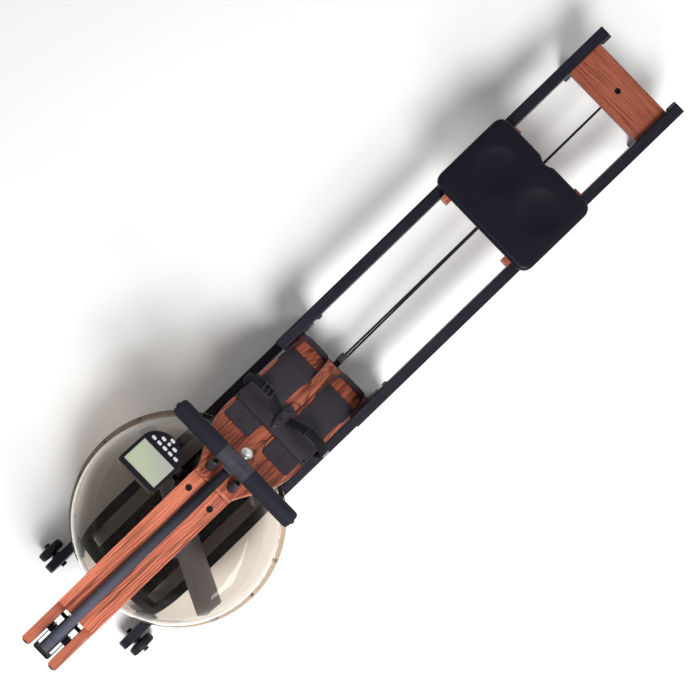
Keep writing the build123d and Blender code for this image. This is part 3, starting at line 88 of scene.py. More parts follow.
class RowerSizes(bpy.types.PropertyGroup):
    """Sizes that a user may change."""

    camera_height: FloatProperty(
        name="Camera height", description="Height of the camera over the floor",
        default=3.1, min=1, max=10, unit="LENGTH",
    )
    camera_lens: FloatProperty(
        name="Lens", description="Focal length on a 36 mm sensor", default=55.8, min=20, max=200,
        unit="CAMERA",
    )
    camera_turn: FloatProperty(
        name="Camera turn", description="How far the machine is turned in the picture",
        default=math.radians(44.05), subtype="ANGLE",
    )
    tank_wall: FloatProperty(
        name="Tank wall", description="Thickness of the tank's shells", default=0.0035,
        min=0.001, max=0.01, unit="LENGTH",
    )
    weave_pitch: FloatProperty(
        name="Weave pitch", description="Distance between the threads of the webbing",
        default=0.0016, min=0.0005, max=0.01, unit="LENGTH",
    )
    ring_width: FloatProperty(
        name="Ring width", description="Distance between the wood's year rings",
        default=0.0075, min=0.002, max=0.05, unit="LENGTH",
    )
    spin_steps: IntProperty(
        name="Round steps", description="Faces around a round piece", default=96, min=24, max=256,
    )


def colour(name, description, value):
    """A colour property in linear light."""
    return FloatVectorProperty(
        name=name, description=description, default=value, size=3, min=0, max=1, subtype="COLOR"
    )


class RowerColours(bpy.types.PropertyGroup):
    """Colours that a user may change."""

    wood_light: colour("Wood, light", "Between the rings", (0.70, 0.215, 0.122))
    wood_mid: colour("Wood, middle", "Most of the wood", (0.50, 0.122, 0.066))
    wood_dark: colour("Wood, dark", "The rings and pores", (0.10, 0.020, 0.013))
    black_paint: colour("Black paint", "Rails, legs and beams", (0.013, 0.0115, 0.02))
    plastic: colour("Black plastic", "Foot rests, drum and pulleys", (0.036, 0.030, 0.040))
    grey_plastic: colour("Grey plastic", "Paddle", (0.075, 0.075, 0.085))
    rubber: colour("Rubber", "Wheels, pads and rests", (0.011, 0.01, 0.014))
    grip: colour("Grip", "The handle's foam", (0.012, 0.011, 0.019))
    strap: colour("Strap", "The drive strap", (0.088, 0.09, 0.122))
    webbing: colour("Webbing", "The foot straps", (0.007, 0.007, 0.011))
    seat: colour("Seat", "The seat's cover", (0.0055, 0.0048, 0.0105))
    tank: colour("Tank", "What light takes on as it goes through the tank", (0.79, 0.745, 0.69))
    screen: colour("Screen", "The monitor's screen", (0.46, 0.51, 0.36))
    silver: colour("Silver", "The monitor's keys", (0.62, 0.62, 0.64))
    steel: colour("Steel", "Screws and axles", (0.52, 0.52, 0.54))
    floor: colour("Floor", "The floor around the machine", (0.86, 0.86, 0.86))


def sizes():
    return bpy.context.scene.rower_sizes


def tint(name):
    """A colour of the panel as four numbers."""
    return (*getattr(bpy.context.scene.rower_colours, name), 1)


# Shader groups and materials

def put(tree, kind, inputs=None, **settings):
    """Adds a shader node. An input is a value or the socket that feeds it."""
    node = tree.nodes.new(kind)
    for key, value in settings.items():
        setattr(node, key, value)
    for key, value in (inputs or {}).items():
        if isinstance(value, bpy.types.NodeSocket):
            tree.links.new(value, node.inputs[key])
        else:
            node.inputs[key].default_value = value
    return node


def maths(tree, operation, *values):
    return put(tree, "ShaderNodeMath", dict(enumerate(values)), operation=operation).outputs[0]


def vector(tree, operation, *values):
    node = put(tree, "ShaderNodeVectorMath", operation=operation)
    for index, value in enumerate(values):
        if operation == "SCALE" and index == 1:
            index = "Scale"
        if isinstance(value, bpy.types.NodeSocket):
            tree.links.new(value, node.inputs[index])
        else:
            node.inputs[index].default_value = value
    return node.outputs["Value"] if operation == "LENGTH" else node.outputs["Vector"]


def noise(tree, place, scale, detail=2.0, rough=0.5):
    return put(
        tree, "ShaderNodeTexNoise",
        {"Vector": place, "Scale": scale, "Detail": detail, "Roughness": rough},
    ).outputs["Fac"]


def spread(tree, value, low, high, to_low=0.0, to_high=1.0):
    return put(
        tree, "ShaderNodeMapRange",
        {"Value": value, "From Min": low, "From Max": high, "To Min": to_low, "To Max": to_high},
    ).outputs["Result"]


def blend_colours(tree, part, first, second, kind="MIX"):
    node = put(tree, "ShaderNodeMix", data_type="RGBA", blend_type=kind)
    for index, value in ((0, part), (6, first), (7, second)):
        if isinstance(value, bpy.types.NodeSocket):
            tree.links.new(value, node.inputs[index])
        else:
            node.inputs[index].default_value = value
    return node.outputs[2]


def background_rays(tree, glossy=1.0):
    """1 for the rays that show the background: the camera's, and those off metal and through glass."""
    path = put(tree, "ShaderNodeLightPath").outputs
    direct = maths(tree, "MAXIMUM", path["Is Camera Ray"], path["Is Transmission Ray"])
    return maths(tree, "MAXIMUM", direct, maths(tree, "MULTIPLY", path["Is Glossy Ray"], glossy))


def group(name, inputs, outputs):
    """An empty shader group with named sockets, or None where it is there already."""
    tree = bpy.data.node_groups.new(name, "ShaderNodeTree")
    kinds = {"f": "NodeSocketFloat", "v": "NodeSocketVector", "c": "NodeSocketColor"}
    for label, kind in inputs:
        tree.interface.new_socket(name=label, in_out="INPUT", socket_type=kinds[kind])
    for label, kind in outputs:
        tree.interface.new_socket(name=label, in_out="OUTPUT", socket_type=kinds[kind])
    return tree, tree.nodes.new("NodeGroupInput").outputs, tree.nodes.new("NodeGroupOutput").inputs


def join(tree, results, outputs):
    for label, socket in results.items():
        tree.links.new(socket, outputs[label])


SURFACE = (("Color", "c"), ("Roughness", "f"), ("Height", "f"))


def make_board_grain():
    """Sawn timber: thin dark year rings that wander about a far axis, fibres, pores and streaks."""
    tree, given, out = group(
        "board_grain",
        (("Vector", "v"), ("Ring Width", "f"), ("Wander", "f"), ("Contrast", "f"),
         ("Light", "c"), ("Middle", "c"), ("Dark", "c")),
        SURFACE,
    )
    place = given["Vector"]
    slow = vector(tree, "MULTIPLY", place, (3.2, 11.0, 11.0))
    wander = put(tree, "ShaderNodeTexNoise", {"Vector": slow, "Scale": 1.0, "Detail": 3.0})
    drift = vector(tree, "SUBTRACT", wander.outputs["Color"], (0.5, 0.5, 0.5))
    drift = vector(tree, "SCALE", vector(tree, "MULTIPLY", drift, (0.0, 0.8, 1.0)), given["Wander"])
    ripple = noise(tree, vector(tree, "MULTIPLY", place, (28.0, 60.0, 60.0)), 1.0, 2.0)
    parts = put(tree, "ShaderNodeSeparateXYZ", {0: vector(tree, "ADD", place, drift)})
    rise = maths(tree, "MULTIPLY_ADD", parts.outputs["X"], 0.1, parts.outputs["Z"])
    rise = maths(tree, "MULTIPLY_ADD", ripple, 0.006, rise)
    section = put(tree, "ShaderNodeCombineXYZ", {"Y": parts.outputs["Y"], "Z": rise})
    far = vector(tree, "LENGTH", section.outputs[0])
    rings = maths(tree, "FRACT", maths(tree, "DIVIDE", far, given["Ring Width"]))
    late = maths(tree, "MULTIPLY", spread(tree, rings, 0.3, 0.9), spread(tree, rings, 1.0, 0.95))
    late = maths(tree, "POWER", late, 2.4)
    patchy = noise(tree, vector(tree, "MULTIPLY", place, (5.0, 40.0, 40.0)), 1.0, 2.0)
    late = maths(tree, "MULTIPLY", late, spread(tree, patchy, 0.3, 0.65, 0.25, 1.0))
    fibre = noise(tree, vector(tree, "MULTIPLY", place, (11.0, 420.0, 420.0)), 1.0, 4.0, 0.6)
    streak = noise(tree, vector(tree, "MULTIPLY", place, (4.0, 120.0, 120.0)), 1.0, 3.0, 0.6)
    pores = noise(tree, vector(tree, "MULTIPLY", place, (24.0, 900.0, 900.0)), 1.0, 1.0)
    pores = spread(tree, maths(tree, "MULTIPLY_ADD", late, 0.12, pores), 0.6, 0.72)
    tone = noise(tree, vector(tree, "MULTIPLY", place, (2.5, 14.0, 14.0)), 1.0, 2.0)
    base = blend_colours(tree, spread(tree, tone, 0.3, 0.7), given["Middle"], given["Light"])
    lines = maths(tree, "MULTIPLY", late, given["Contrast"])
    veined = blend_colours(tree, lines, base, given["Dark"])
    heart = maths(tree, "MULTIPLY", spread(tree, streak, 0.46, 0.62), spread(tree, patchy, 0.35, 0.62))
    heart = maths(tree, "MULTIPLY", heart, given["Contrast"])
    streaked = blend_colours(tree, heart, veined, given["Dark"])
    fibred = blend_colours(tree, spread(tree, fibre, 0.42, 0.75, 0.0, 0.45), streaked, given["Dark"])
    final = blend_colours(tree, maths(tree, "MULTIPLY", pores, 0.55), fibred, given["Dark"])
    join(tree, {
        "Color": final,
        "Roughness": spread(tree, late, 0, 1, 0.4, 0.52),
        "Height": maths(tree, "MULTIPLY_ADD", pores, -0.8, maths(tree, "MULTIPLY", fibre, 0.35)),
    }, out)
    return tree


def make_painted_grain():
    """Dark paint over timber: the grain shows as fine streaks along X."""
    tree, given, out = group("painted_grain", (("Vector", "v"), ("Paint", "c")), SURFACE)
    place = given["Vector"]
    streaks = noise(tree, vector(tree, "MULTIPLY", place, (9.0, 330.0, 330.0)), 1.0, 4.0, 0.65)
    cloud = noise(tree, vector(tree, "MULTIPLY", place, (5.0, 22.0, 22.0)), 1.0, 2.0)
    lift = maths(tree, "MULTIPLY_ADD", spread(tree, streaks, 0.35, 0.7), 0.75, 0.6)
    lift = maths(tree, "MULTIPLY", lift, spread(tree, cloud, 0.3, 0.7, 0.85, 1.2))
    join(tree, {
        "Color": vector(tree, "SCALE", given["Paint"], lift),
        "Roughness": spread(tree, streaks, 0.3, 0.7, 0.36, 0.5),
        "Height": streaks,
    }, out)
    return tree


def make_moulded_skin():
    """Moulded plastic or rubber: a fine spark-eroded skin, faint clouds and a little dust."""
    tree, given, out = group(
        "moulded_skin",
        (("Vector", "v"), ("Base", "c"), ("Roughness", "f"), ("Speck", "f"), ("Uneven", "f")),
        SURFACE,
    )
    place = given["Vector"]
    fine = noise(tree, place, given["Speck"], 2.0)
    cloud = maths(tree, "SUBTRACT", noise(tree, place, 24.0, 3.0, 0.6), 0.5)
    cloud = maths(tree, "MULTIPLY", cloud, given["Uneven"])
    dust = spread(tree, noise(tree, place, 130.0, 4.0, 0.7), 0.6, 0.85)
    dust = maths(tree, "MULTIPLY", maths(tree, "MULTIPLY", dust, given["Uneven"]), 0.06)
    shade = maths(tree, "ADD", maths(tree, "MULTIPLY_ADD", fine, 0.3, 0.85), cloud)
    shade = vector(tree, "SCALE", given["Base"], shade)
    join(tree, {
        "Color": blend_colours(tree, dust, shade, (0.2, 0.19, 0.18, 1)),
        "Roughness": maths(tree, "MULTIPLY_ADD", cloud, 0.3, given["Roughness"]),
        "Height": fine,
    }, out)
    return tree


def make_woven_band():
    """Plain weave on the piece's own map, which is in metres along and across the strap."""
    tree, given, out = group(
        "woven_band", (("Map", "v"), ("Pitch", "f"), ("Base", "c"), ("Lift", "f")), SURFACE
    )
    turn = maths(tree, "DIVIDE", 2 * math.pi, given["Pitch"])
    parts = put(tree, "ShaderNodeSeparateXYZ", {0: given["Map"]})
    along = maths(tree, "SINE", maths(tree, "MULTIPLY", parts.outputs["X"], turn))
    across = maths(tree, "SINE", maths(tree, "MULTIPLY", parts.outputs["Y"], turn))
    weave = spread(tree, maths(tree, "MULTIPLY", along, across), -1, 1)
    fuzz = noise(tree, vector(tree, "MULTIPLY", given["Map"], (140.0, 700.0, 1.0)), 1.0, 3.0)
    shade = maths(tree, "MULTIPLY", spread(tree, weave, 0, 1, 0.72, 1.3),
                  spread(tree, fuzz, 0.3, 0.7, 0.85, 1.15))
    join(tree, {
        "Color": vector(tree, "SCALE", given["Base"], maths(tree, "MULTIPLY", shade, given["Lift"])),
        "Roughness": spread(tree, weave, 0, 1, 0.7, 0.5),
        "Height": weave,
    }, out)
    return tree


def make_brushed_lines():
    """Metal drawn or turned in one direction, with fine scratches and a worn sheen."""
    tree, given, out = group("brushed_lines", (("Vector", "v"), ("Base", "c")), SURFACE)
    lines = noise(tree, vector(tree, "MULTIPLY", given["Vector"], (60.0, 900.0, 900.0)), 1.0, 3.0)
    cloud = noise(tree, given["Vector"], 40.0, 3.0)
    join(tree, {
        "Color": vector(tree, "SCALE", given["Base"], spread(tree, lines, 0.3, 0.7, 0.82, 1.12)),
        "Roughness": spread(tree, cloud, 0.3, 0.7, 0.26, 0.42),
        "Height": lines,
    }, out)
    return tree


GROUPS = {}
GROUP_MAKERS = {
    "board_grain": make_board_grain,
    "painted_grain": make_painted_grain,
    "moulded_skin": make_moulded_skin,
    "woven_band": make_woven_band,
    "brushed_lines": make_brushed_lines,
}


def effect(tree, name, inputs):
    """Places a shader group, built the first time it is asked for."""
    if name not in GROUPS:
        GROUPS[name] = GROUP_MAKERS[name]()
    node = put(tree, "ShaderNodeGroup", node_tree=GROUPS[name])
    for key, value in inputs.items():
        if isinstance(value, bpy.types.NodeSocket):
            tree.links.new(value, node.inputs[key])
        else:
            node.inputs[key].default_value = value
    return node.outputs


def pattern_place(tree, turn=(0, 0, 0), move=(0, 0, 0)):
    """Object coordinates, turned so that the pattern's X runs along the piece."""
    coordinates = put(tree, "ShaderNodeTexCoord").outputs["Object"]
    return put(
        tree, "ShaderNodeMapping",
        {"Vector": coordinates, "Rotation": turn, "Location": move},
    ).outputs["Vector"]


def finish_material(material, surface, bump, metallic=0.0, extra=None):
    """Joins a surface group's results to a Principled shader."""
    tree = material.node_tree
    normal = put(
        tree, "ShaderNodeBump", {"Height": surface["Height"], "Strength": 1.0, "Distance": bump}
    ).outputs["Normal"]
    inputs = {
        "Base Color": surface["Color"], "Roughness": surface["Roughness"], "Normal": normal,
        "Metallic": metallic,
    }
    inputs.update(extra or {})
    shader = put(tree, "ShaderNodeBsdfPrincipled", inputs)
    output = put(tree, "ShaderNodeOutputMaterial", {"Surface": shader.outputs[0]})
    return output


def new_material(name):
    material = bpy.data.materials.new(name)
    material.use_nodes = True
    material.node_tree.nodes.clear()
    return material


MATERIALS = {}


def stained_wood(name, turn, move, lift=1.0, ring=1.0, wander=0.05, contrast=0.8):
    material = new_material(name)
    tree = material.node_tree
    surface = effect(tree, "board_grain", {
        "Vector": pattern_place(tree, turn, move),
        "Ring Width": sizes().ring_width * ring, "Wander": wander, "Contrast": contrast,
        "Light": tuple(c * lift for c in tint("wood_light")[:3]) + (1,),
        "Middle": tuple(c * lift for c in tint("wood_mid")[:3]) + (1,),
        "Dark": tint("wood_dark"),
    })
    finish_material(material, surface, 0.00012, extra={
        "Specular IOR Level": 0.2, "Coat Weight": 0.05, "Coat Roughness": 0.3,
    })
    return material


def painted_wood(name, turn=(0, 0, 0)):
    material = new_material(name)
    tree = material.node_tree
    surface = effect(tree, "painted_grain", {
        "Vector": pattern_place(tree, turn), "Paint": tint("black_paint"),
    })
    finish_material(material, surface, 0.0002, extra={"Specular IOR Level": 0.15})
    return material


def moulded(name, base, roughness, speck=900.0, bump=0.00005, uneven=0.5, extra=None):
    material = new_material(name)
    tree = material.node_tree
    surface = effect(tree, "moulded_skin", {
        "Vector": pattern_place(tree), "Base": base, "Roughness": roughness, "Speck": speck,
        "Uneven": uneven,
    })
    extra = {"Specular IOR Level": 0.25, **(extra or {})}
    finish_material(material, surface, bump, extra=extra)
    return material


def woven(name, base, painted_shade_span=None):
    """Webbing. A painted shade span is two places along X, between which it goes from full colour to
    dark: painted shade towards the handle.
    """
    material = new_material(name)
    tree = material.node_tree
    lift = 1.0
    # Painted shade: between the span's two places the colour drops to a tenth.
    if painted_shade_span:
        parts = put(tree, "ShaderNodeSeparateXYZ", {0: put(tree, "ShaderNodeTexCoord").outputs["Object"]})
        lift = spread(tree, parts.outputs["X"], *painted_shade_span, 1.0, 0.1)
    surface = effect(tree, "woven_band", {
        "Map": put(tree, "ShaderNodeUVMap", uv_map="strap").outputs["UV"],
        "Pitch": sizes().weave_pitch, "Base": base, "Lift": lift,
    })
    finish_material(material, surface, 0.00025, extra={
        "Sheen Weight": 0.02, "Sheen Roughness": 0.4, "Specular IOR Level": 0.15,
    })
    return material


def metal(name, base, turn=(0, 0, 0)):
    material = new_material(name)
    tree = material.node_tree
    surface = effect(tree, "brushed_lines", {"Vector": pattern_place(tree, turn), "Base": base})
    finish_material(material, surface, 0.00003, metallic=1.0)
    return material


def smoky_clear(name):
    """Tinted clear plastic that lets the lamps' light through to the floor."""
    material = new_material(name)
    tree = material.node_tree
    shade = noise(tree, pattern_place(tree), 9.0, 2.0)
    body = blend_colours(
        tree, spread(tree, shade, 0.3, 0.7, 0, 0.12), tint("tank"), (0.68, 0.62, 0.56, 1)
    )
    facing = put(tree, "ShaderNodeLayerWeight", {"Blend": 0.5}).outputs["Facing"]
    body = blend_colours(tree, spread(tree, facing, 0.85, 1.0), body, (0.66, 0.56, 0.48, 1))
    shader = put(tree, "ShaderNodeBsdfPrincipled", {
        "Base Color": body, "Roughness": 0.01, "IOR": 1.12, "Transmission Weight": 1.0,
        "Coat Weight": spread(tree, facing, 0.03, 0.3, 0.05, 0.7), "Coat Roughness": 0.02,
    })
    clear = put(tree, "ShaderNodeBsdfTransparent", {"Color": (0.38, 0.29, 0.23, 1)})
    thin = put(tree, "ShaderNodeBsdfTransparent", {"Color": (0.90, 0.86, 0.82, 1)})
    path = put(tree, "ShaderNodeLightPath").outputs
    deep = maths(tree, "GREATER_THAN", path["Transmission Depth"], 2.5)
    through = put(tree, "ShaderNodeMixShader", {0: deep, 1: shader.outputs[0], 2: thin.outputs[0]})
    mixed = put(tree, "ShaderNodeMixShader", {
        0: path["Is Shadow Ray"], 1: through.outputs[0], 2: clear.outputs[0],
    })
    put(tree, "ShaderNodeOutputMaterial", {"Surface": mixed.outputs[0]})
    return material


def display_glass(name):
    """The screen: a pale green-grey that turns greyer towards one side."""
    material = new_material(name)
    tree = material.node_tree
    place = put(tree, "ShaderNodeTexCoord").outputs["Object"]
    parts = put(tree, "ShaderNodeSeparateXYZ", {0: place})
    across = spread(tree, parts.outputs["Y"], 0.19, 0.095)
    down = spread(tree, parts.outputs["X"], -0.55, -0.49)
    mix = spread(tree, maths(tree, "ADD", across, down), 0.7, 1.9)
    body = blend_colours(tree, mix, tint("screen"), (0.40, 0.40, 0.37, 1))
    shade = noise(tree, place, 300.0, 2.0)
    body = blend_colours(tree, spread(tree, shade, 0.3, 0.8, 0, 0.1), body, (0.2, 0.22, 0.16, 1))
    shader = put(tree, "ShaderNodeBsdfPrincipled", {
        "Base Color": body, "Roughness": spread(tree, shade, 0, 1, 0.2, 0.3),
        "Specular IOR Level": 0.4, "Coat Weight": 0.3, "Coat Roughness": 0.08,
    })
    put(tree, "ShaderNodeOutputMaterial", {"Surface": shader.outputs[0]})
    return material


def build_materials():
    """Every finish of the machine, by name."""
    level = (0, 0, 0)
    across = (0, 0, math.radians(90))
    down_slope = (0, -BOARD_TILT, 0)
    upright = (0, math.radians(90), 0)
    MATERIALS.update({
        "arm_wood": stained_wood("arm_wood", level, (0.3, 0.33, -0.45), 1.0, 0.55, 0.012, 0.6),
        "deck_wood": stained_wood("deck_wood", level, (0.75, 0.20, -0.44), 1.18, 0.9, 0.05, 1.0),
        "spacer_wood": stained_wood("spacer_wood", across, (0.1, 0.97, -0.17), 0.72, 1.1, 0.05, 0.7),
        "slope_wood": stained_wood("slope_wood", down_slope, (0.15, 0.004, -0.01), 1.0, 1.0, 0.07, 1.0),
        "strut_wood": stained_wood("strut_wood", down_slope, (0.6, 0.3, -0.02), 0.8),
        "runner_wood": stained_wood("runner_wood", level, (0.2, 0.1, -0.2), 1),
        "rail_paint": painted_wood("rail_paint"),
        "cross_paint": painted_wood("cross_paint", across),
        "leg_paint": painted_wood("leg_paint", upright),
        "black_plastic": moulded("black_plastic", tint("plastic"), 0.5, 700.0),
        "grey_plastic": moulded("grey_plastic", tint("grey_plastic"), 0.42),
        "sleeve_plastic": moulded("sleeve_plastic", (0.045, 0.044, 0.06, 1), 0.3, 120.0, 0.0002, 1.6),
        "case_plastic": moulded("case_plastic", (0.006, 0.0045, 0.008, 1), 0.4, 700.0),
        "nylon": moulded("nylon", (0.03, 0.029, 0.034, 1), 0.4),
        "rubber": moulded("rubber", tint("rubber"), 0.6, 500.0, 0.0001),
        "rest_rubber": moulded("rest_rubber", (0.03, 0.028, 0.034, 1), 0.45, 500.0, 0.0001),
        "screw_grey": moulded("screw_grey", (0.16, 0.14, 0.125, 1), 0.4),
        "grip_foam": moulded("grip_foam", tint("grip"), 0.75, 1400.0, 0.0003, 0.3),
        "seat_cover": moulded(
            "seat_cover", tint("seat"), 0.38, 1100.0, 0.00006, 0.25, {"Specular IOR Level": 0.16}
        ),
        "silver_key": moulded("silver_key", tint("silver"), 0.3, 900.0, 0.00002),
        # Pale grey for the lugs and the hem; round the screen it is a painted highlight.
        "pale_edge": moulded("pale_edge", (0.24, 0.25, 0.26, 1), 0.4),
        # The drive and recoil straps get painted shade that darkens them towards the handle.
        "strap_weave": woven("strap_weave", tint("strap"), (-0.86, -0.5)),
        "foot_weave": woven("foot_weave", tint("webbing")),
        "cord_weave": moulded("cord_weave", (0.006, 0.006, 0.008, 1), 0.7, 1800.0, 0.0004),
        "bright_steel": metal("bright_steel", tint("steel")),
        "black_steel": metal("black_steel", (0.022, 0.02, 0.026, 1)),
        "chrome_cap": metal("chrome_cap", (0.86, 0.86, 0.87, 1)),
        "smoky_clear": smoky_clear("smoky_clear"),
        "display_glass": display_glass("display_glass"),
    })


# Helpers for new pieces

def fresh(name, bm, material, body, smooth=40.0, subdivide=0):
    """Turns a bmesh into a piece that rides on a body."""
    mesh = bpy.data.meshes.new(name)
    for face in bm.faces:
        face.smooth = True
    bm.to_mesh(mesh)
    bm.free()
    mesh.set_sharp_from_angle(angle=math.radians(smooth))
    mesh.materials.append(MATERIALS[material])
    piece = bpy.data.objects.new(name, mesh)
    bpy.context.scene.collection.objects.link(piece)
    if subdivide:
        modifier = piece.modifiers.new("rounding", "SUBSURF")
        modifier.levels = modifier.render_levels = subdivide
    if body:
        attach(piece, body)
    return piece


def spun(profile, centre, axis="Z", steps=None):
    """A bmesh revolved about an axis through centre. The profile is (radius, height) pairs."""
    steps = steps or sizes().spin_steps
    turn = {
        "Z": Matrix.Identity(4),
        "Y": Matrix.Rotation(math.radians(-90), 4, "X"),
        "X": Matrix.Rotation(math.radians(90), 4, "Y"),
    }[axis]
    bm = bmesh.new()
    verts = [bm.verts.new((radius, 0, height)) for radius, height in profile]
    edges = [bm.edges.new(pair) for pair in zip(verts, verts[1:])]
    bmesh.ops.spin(
        bm, geom=verts + edges, cent=(0, 0, 0), axis=(0, 0, 1), dvec=(0, 0, 0),
        angle=2 * math.pi, steps=steps, use_merge=True, use_duplicate=False,
    )
    bmesh.ops.remove_doubles(bm, verts=bm.verts, dist=1e-6)
    bmesh.ops.recalc_face_normals(bm, faces=bm.faces)
    bmesh.ops.transform(bm, matrix=Matrix.Translation(centre) @ turn, verts=bm.verts)
    return bm


def ribbon(stations, width):
    """A flat band through (centre, across) stations, with a map in metres along and across it."""
    bm = bmesh.new()
    layer = bm.loops.layers.uv.new("strap")
    centre, across = stations[0]
    row = [bm.verts.new(centre - across * width / 2), bm.verts.new(centre + across * width / 2)]
    edge = bm.edges.new(row)
    place = {row[0]: (0, -width / 2), row[1]: (0, width / 2)}
    travelled = 0
    for (before, _), (centre, across) in zip(stations, stations[1:]):
        travelled += (centre - before).length
        grown = bmesh.ops.extrude_edge_only(bm, edges=[edge])["geom"]
        edge = next(g for g in grown if isinstance(g, bmesh.types.BMEdge) and len(g.link_faces) == 1)
        near, far = edge.verts
        if any(row[1] in link.verts for link in near.link_edges):
            near, far = far, near
        near.co, far.co = centre - across * width / 2, centre + across * width / 2
        row = [near, far]
        place[near], place[far] = (travelled, -width / 2), (travelled, width / 2)
    for face in bm.faces:
        for loop in face.loops:
            loop[layer].uv = place[loop.vert]
    return bm


def thicken(piece, thickness, round_edge=0.0):
    """Gives a band its thickness, half to each side."""
    solid = piece.modifiers.new("thickness", "SOLIDIFY")
    solid.thickness = thickness
    solid.offset = 0
    if round_edge:
        bevel = piece.modifiers.new("edges", "BEVEL")
        bevel.width = round_edge
        bevel.segments = 2
        bevel.limit_method = "ANGLE"
        bevel.angle_limit = math.radians(60)


def strap_arc(middle, line_radius, start, end, steps, side=Vector((0, 1, 0))):
    """Stations round a pulley, between two angles from +X towards +Z."""
    stations = []
    for k in range(steps + 1):
        angle = math.radians(start + (end - start) * k / steps)
        reach = Vector((math.cos(angle), 0, math.sin(angle))) * line_radius
        stations.append((middle + reach, side))
    return stations


def strap_twist(start, end, edge_lead, flat_lead, steps=28):
    """Stations of a strap that starts on edge, ends flat, and eases over between its leads."""
    ahead = math.copysign(1, end.x - start.x)
    near, far = start.x + ahead * edge_lead, end.x - ahead * flat_lead
    stations = [(start, Vector((0, 0, 1)))]
    for k in range(steps + 1):
        part = k / steps
        ease = part * part * (3 - 2 * part)
        roll = math.radians(90 * ease)
        centre = Vector((
            near + (far - near) * part,
            start.y + (end.y - start.y) * ease,
            start.z + (end.z - start.z) * ease,
        ))
        stations.append((centre, Vector((0, math.sin(roll), math.cos(roll)))))
    stations.append((end, Vector((0, 1, 0))))
    return stations


def strap_coil(radius, pitch, turns, height, steps=40):
    """Stations of a strap wound on the drum, from the inside out, ending where it leaves."""
    stations = []
    total = int(turns * steps)
    for k in range(total + 1):
        left = (total - k) / steps
        angle = math.radians(-90 + 360 * left)
        reach = radius - pitch * left
        centre = Vector((TANK_X + reach * math.cos(angle), reach * math.sin(angle), height))
        stations.append((centre, Vector((0, 0, 1))))
    return stations


def block(bm, low, high, matrix=None, round_edge=0.0, segments=2):
    """A box between two corners, with rounded edges, in a bmesh."""
    made = bmesh.ops.create_cube(bm, size=1)["verts"]
    low, high = Vector(low), Vector(high)
    bmesh.ops.scale(bm, vec=high - low, verts=made)
    bmesh.ops.translate(bm, vec=(low + high) / 2, verts=made)
    if round_edge:
        edges = list({e for v in made for e in v.link_edges})
        made = bmesh.ops.bevel(
            bm, geom=edges, offset=round_edge, segments=segments, profile=0.5, affect="EDGES",
            material=-1, offset_type="OFFSET", clamp_overlap=True,
        )["verts"]
    if matrix is not None:
        bmesh.ops.transform(bm, matrix=matrix, verts=made)
    return made


def add_to(bm, part):
    """Adds one bmesh to another and frees it."""
    mesh = bpy.data.meshes.new("part")
    part.to_mesh(mesh)
    part.free()
    bm.from_mesh(mesh)
    bpy.data.meshes.remove(mesh)


def soften(bm, width, segments=2, least=30.0):
    """Rounds the sharp outer edges of a closed mesh."""
    bm.normal_update()
    sharp = [e for e in bm.edges if len(e.link_faces) == 2 and e.is_convex
             and e.calc_face_angle() > math.radians(least)]
    bmesh.ops.bevel(
        bm, geom=sharp, offset=width, segments=segments, profile=0.5, affect="EDGES",
        material=-1, offset_type="OFFSET", clamp_overlap=True,
    )


def slab(outline, low, high):
    """A flat closed shape between two heights. The outline is (along, across) pairs."""
    bm = bmesh.new()
    face = bm.faces.new([bm.verts.new((*place, low)) for place in outline])
    grown = bmesh.ops.extrude_face_region(bm, geom=[face])["geom"]
    bmesh.ops.translate(
        bm, vec=(0, 0, high - low), verts=[g for g in grown if isinstance(g, bmesh.types.BMVert)]
    )
    bmesh.ops.recalc_face_normals(bm, faces=bm.faces)
    return bm


def mirrored(half):
    """A whole outline from its half at one side of the middle line."""
    return half + [(d, -w) for d, w in reversed(half)]


def curve_points(corners, steps):
    """(along, across) pairs on a Bezier curve."""
    found = interpolate_bezier(*[Vector((*c, 0)) for c in corners], steps)
    return [(point.x, point.y) for point in found]


def merged_copy(node, name):
    """A joined-up copy of a CAD node's mesh."""
    bm = bmesh.new()
    bm.from_mesh(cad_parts[node].data)
    bmesh.ops.remove_doubles(bm, verts=bm.verts, dist=1e-5)
    mesh = bpy.data.meshes.new(name)
    bm.to_mesh(mesh)
    bm.free()
    piece = bpy.data.objects.new(name, mesh)
    bpy.context.scene.collection.objects.link(piece)
    return piece


def apply_modifiers(piece):
    """Keeps the shape that the piece's modifiers give."""
    graph = bpy.context.evaluated_depsgraph_get()
    mesh = bpy.data.meshes.new_from_object(piece.evaluated_get(graph))
    old = piece.data
    piece.modifiers.clear()
    piece.data = mesh
    bpy.data.meshes.remove(old)


# Operators: one for each group of pieces

NODE_FINISH = {
    "deck_wood": ("deck_board",),
    "spacer_wood": ("rear_spacer",),
    "strut_wood": ("footboard_struts",),
    "runner_wood": ("seat_carriage",),
    "rail_paint": ("rail_right", "rail_left", "beam_right", "beam_left"),
    "cross_paint": ("cross_members",),
    "leg_paint": ("legs",),
    "black_plastic": (
        "foot_plates", "drive_drum", "front_pulley", "seat_stops",
    ),
    "case_plastic": ("monitor_case",),
    "sleeve_plastic": ("handle_sleeve",),
    "nylon": (
        "recoil_pulley_upper", "recoil_pulley_lower", "rear_pulley", "tank_bearings",
        "seat_roller_front_right", "seat_roller_front_left", "seat_roller_rear_right",
        "seat_roller_rear_left",
    ),
    "rubber": ("rubber_feet",),
    "rest_rubber": ("handle_rests",),
    "smoky_clear": ("tank_seam_ring",),
    "black_steel": ("strap_guard", "front_axle", "monitor_bracket", "axles", "frame_bolts"),
    "screw_grey": ("tank_screws",),
    "display_glass": ("monitor_screen",),
    "silver_key": (
        "key_a1", "key_a2", "key_a3", "key_a4", "key_a5", "key_b1", "key_b2", "key_b3", "key_c1",
    ),
}


class ROWER_OT_finishes(bpy.types.Operator):
    """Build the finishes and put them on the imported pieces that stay"""

    bl_idname = "rower.finishes"
    bl_label = "Finishes"

    def execute(self, context):
        build_materials()
        for finish, names in NODE_FINISH.items():
            for name in names:
                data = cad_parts[name].data
                data.materials.clear()
                data.materials.append(MATERIALS[finish])
        return {"FINISHED"}


